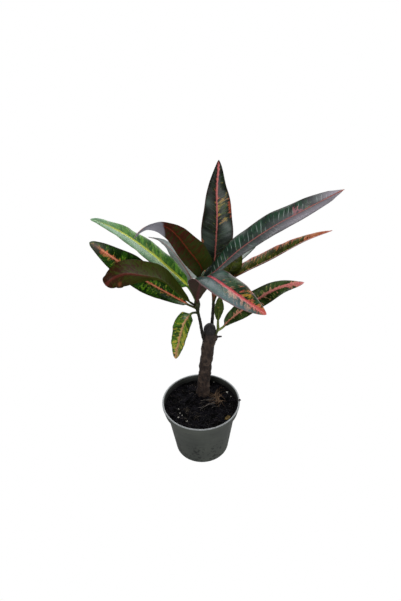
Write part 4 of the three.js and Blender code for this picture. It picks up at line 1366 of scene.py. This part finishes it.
def build_leaf(name, leaf, look, number):
    generator = np.random.default_rng(100 + number)
    curve = Run(leaf["route"])
    stalk = leaf["stalk"]
    length = curve.length - stalk
    step = np.linspace(0, 1, LEAF["rows"])
    blade = mix(step, (1 - np.cos(np.pi * step)) / 2, 0.45)
    petiole = np.linspace(0, stalk, LEAF["stalk_rows"], endpoint=False)
    distances = np.concatenate([petiole, stalk + length * blade])
    t = np.clip((distances - stalk) / length, 0, 1)
    part = np.linspace(0, 1, LEAF["half_columns"] + 1)
    part = mix(part, smooth(part), 0.7)
    u = np.concatenate([-part[:0:-1], part])[None]
    share = t[:, None]
    run = (distances - stalk)[:, None] + 0 * u

    normal, right = leaf_directions(leaf, curve, distances, t)
    centre = curve.at(distances)[:, None]
    up, right = normal[:, None], right[:, None]
    out, rise, off = blade_section(leaf, run, share, u, generator)
    sheet = centre + right * out[..., None] + up * rise[..., None]
    upper, lower = blade_skins(sheet, normal, share, u, off)

    # the petiole is round, and opens out into the blade
    thick = mix(1.25, 1, smooth(distances / 8))[:, None] * LEAF["petiole_radius"]
    angle = np.pi / 2 * (1 - u)
    flat = smooth(share / LEAF["opening"])[..., None]
    beside = centre + right * (thick * np.cos(angle))[..., None]
    above = up * (thick * np.sin(angle))[..., None]
    upper = mix(beside + above * 0.8, upper, flat)
    lower = mix(beside - above, lower, flat)
    points = both_sides(upper, lower)
    body = points.reshape(-1, 3), ring_faces(*points.shape[:2])

    wide = np.broadcast_to(u, run.shape)
    # The last kind, sheen, places the painted reflection; its field goes into the face values.
    fields = [marks_at(look[kind + "_marks"], leaf, length, run, off, wide)
              for kind in ("warm", "pale", "fresh", "painted_sheen")]
    is_upper = np.full_like(run, 0.0 if look["flipped"] else 1.0)
    is_upper[:, [0, -1]] = 0.5
    values = {
        "blade": np.stack([both_sides(run), both_sides(off), both_sides(share + 0 * u)], -1),
        "marks": np.stack([both_sides(field) for field in fields[:3]], -1),
        "face": np.stack([both_sides(wide), both_sides(is_upper, 1 - is_upper),
                          both_sides(fields[3])], -1),
    }
    skin = leaf_finish(name + "_skin", look, number + 1)
    add_piece(name + "_blade", body, skin, [name], values)


# Stage

def white_to_camera(tree, shader, kind, output):
    """Joins a shader to the output so that the camera sees plain white in its place."""
    white = tree.nodes.new(kind)
    white.inputs["Color"].default_value = (1, 1, 1, 1)
    white.inputs["Strength"].default_value = 1.0
    seen = tree.nodes.new("ShaderNodeLightPath")
    chosen = tree.nodes.new("ShaderNodeMixShader")
    tree.links.new(seen.outputs["Is Camera Ray"], chosen.inputs[0])
    tree.links.new(shader.outputs[0], chosen.inputs[1])
    tree.links.new(white.outputs[0], chosen.inputs[2])
    tree.links.new(chosen.outputs[0], output.inputs["Surface"])


def build_stage():
    """A plain pale floor, as white as the photograph's ground where the camera sees it."""
    reach = FLOOR_SIZE / 2
    corners = [(-reach, -reach, 0), (reach, -reach, 0), (reach, reach, 0), (-reach, reach, 0)]
    floor = placed("floor", new_mesh("floor", corners, [(0, 1, 2, 3)]))
    floor.location.z = -FLOOR_DROP * METRES_PER_MM
    paint = Finish("floor_paint", Base_Color=linear(FLOOR_COLOUR), Roughness=0.9)
    output = paint.tree.nodes["Material Output"]
    white_to_camera(paint.tree, paint.surface, "ShaderNodeEmission", output)
    floor.data.materials.append(paint.material)


def build_lights():
    for name, box in SOFT_BOXES.items():
        azimuth = math.radians(box["azimuth"])
        elevation = math.radians(box["elevation"])
        level = math.cos(elevation)
        away = Vector((math.sin(azimuth) * level, math.cos(azimuth) * level, math.sin(elevation)))
        light = bpy.data.lights.new(name, "AREA")
        light.shape = "RECTANGLE"
        light.size, light.size_y = box["size"]
        light.energy = box["watts"]
        made = placed(name, light)
        made.location = Vector(AIM) + away * box["distance"]
        made.rotation_euler = (-away).to_track_quat("-Z", "Y").to_euler()
        made.visible_camera = False
    world = bpy.data.worlds.new("studio")
    world.use_nodes = True
    tree = world.node_tree
    dim = tree.nodes["Background"]
    dim.inputs["Strength"].default_value = WORLD_STRENGTH
    dim.inputs["Color"].default_value = (1, 1, 1, 1)
    white_to_camera(tree, dim, "ShaderNodeBackground", tree.nodes["World Output"])
    bpy.context.scene.world = world


def build_camera():
    lens = bpy.data.cameras.new("camera")
    lens.lens = CAMERA["lens"]
    lens.sensor_width = CAMERA["sensor"]
    lens.clip_start, lens.clip_end = CLIP
    camera = placed("camera", lens)
    place = Matrix.Translation(Vector(CAMERA["place"]) * METRES_PER_MM)
    tilt = Matrix.Rotation(math.radians(90 - CAMERA["look_down"]), 4, "X")
    roll = Matrix.Rotation(math.radians(-CAMERA["roll"]), 4, "Z")
    camera.matrix_world = place @ tilt @ roll
    bpy.context.scene.camera = camera


bpy.context.scene.view_settings.view_transform = "Standard"
build_camera()
build_lights()
build_stage()
build_pot()
build_soil()
build_crumbs()
build_perlite()
build_fibres()
build_debris()
build_trunk()
build_twig()
build_shoots()
build_bud()
for number, (name, leaf) in enumerate(LEAVES.items()):
    build_leaf(name, {**PLAIN_LEAF, **leaf}, {**PLAIN_LOOK, **LOOKS[name]}, number)
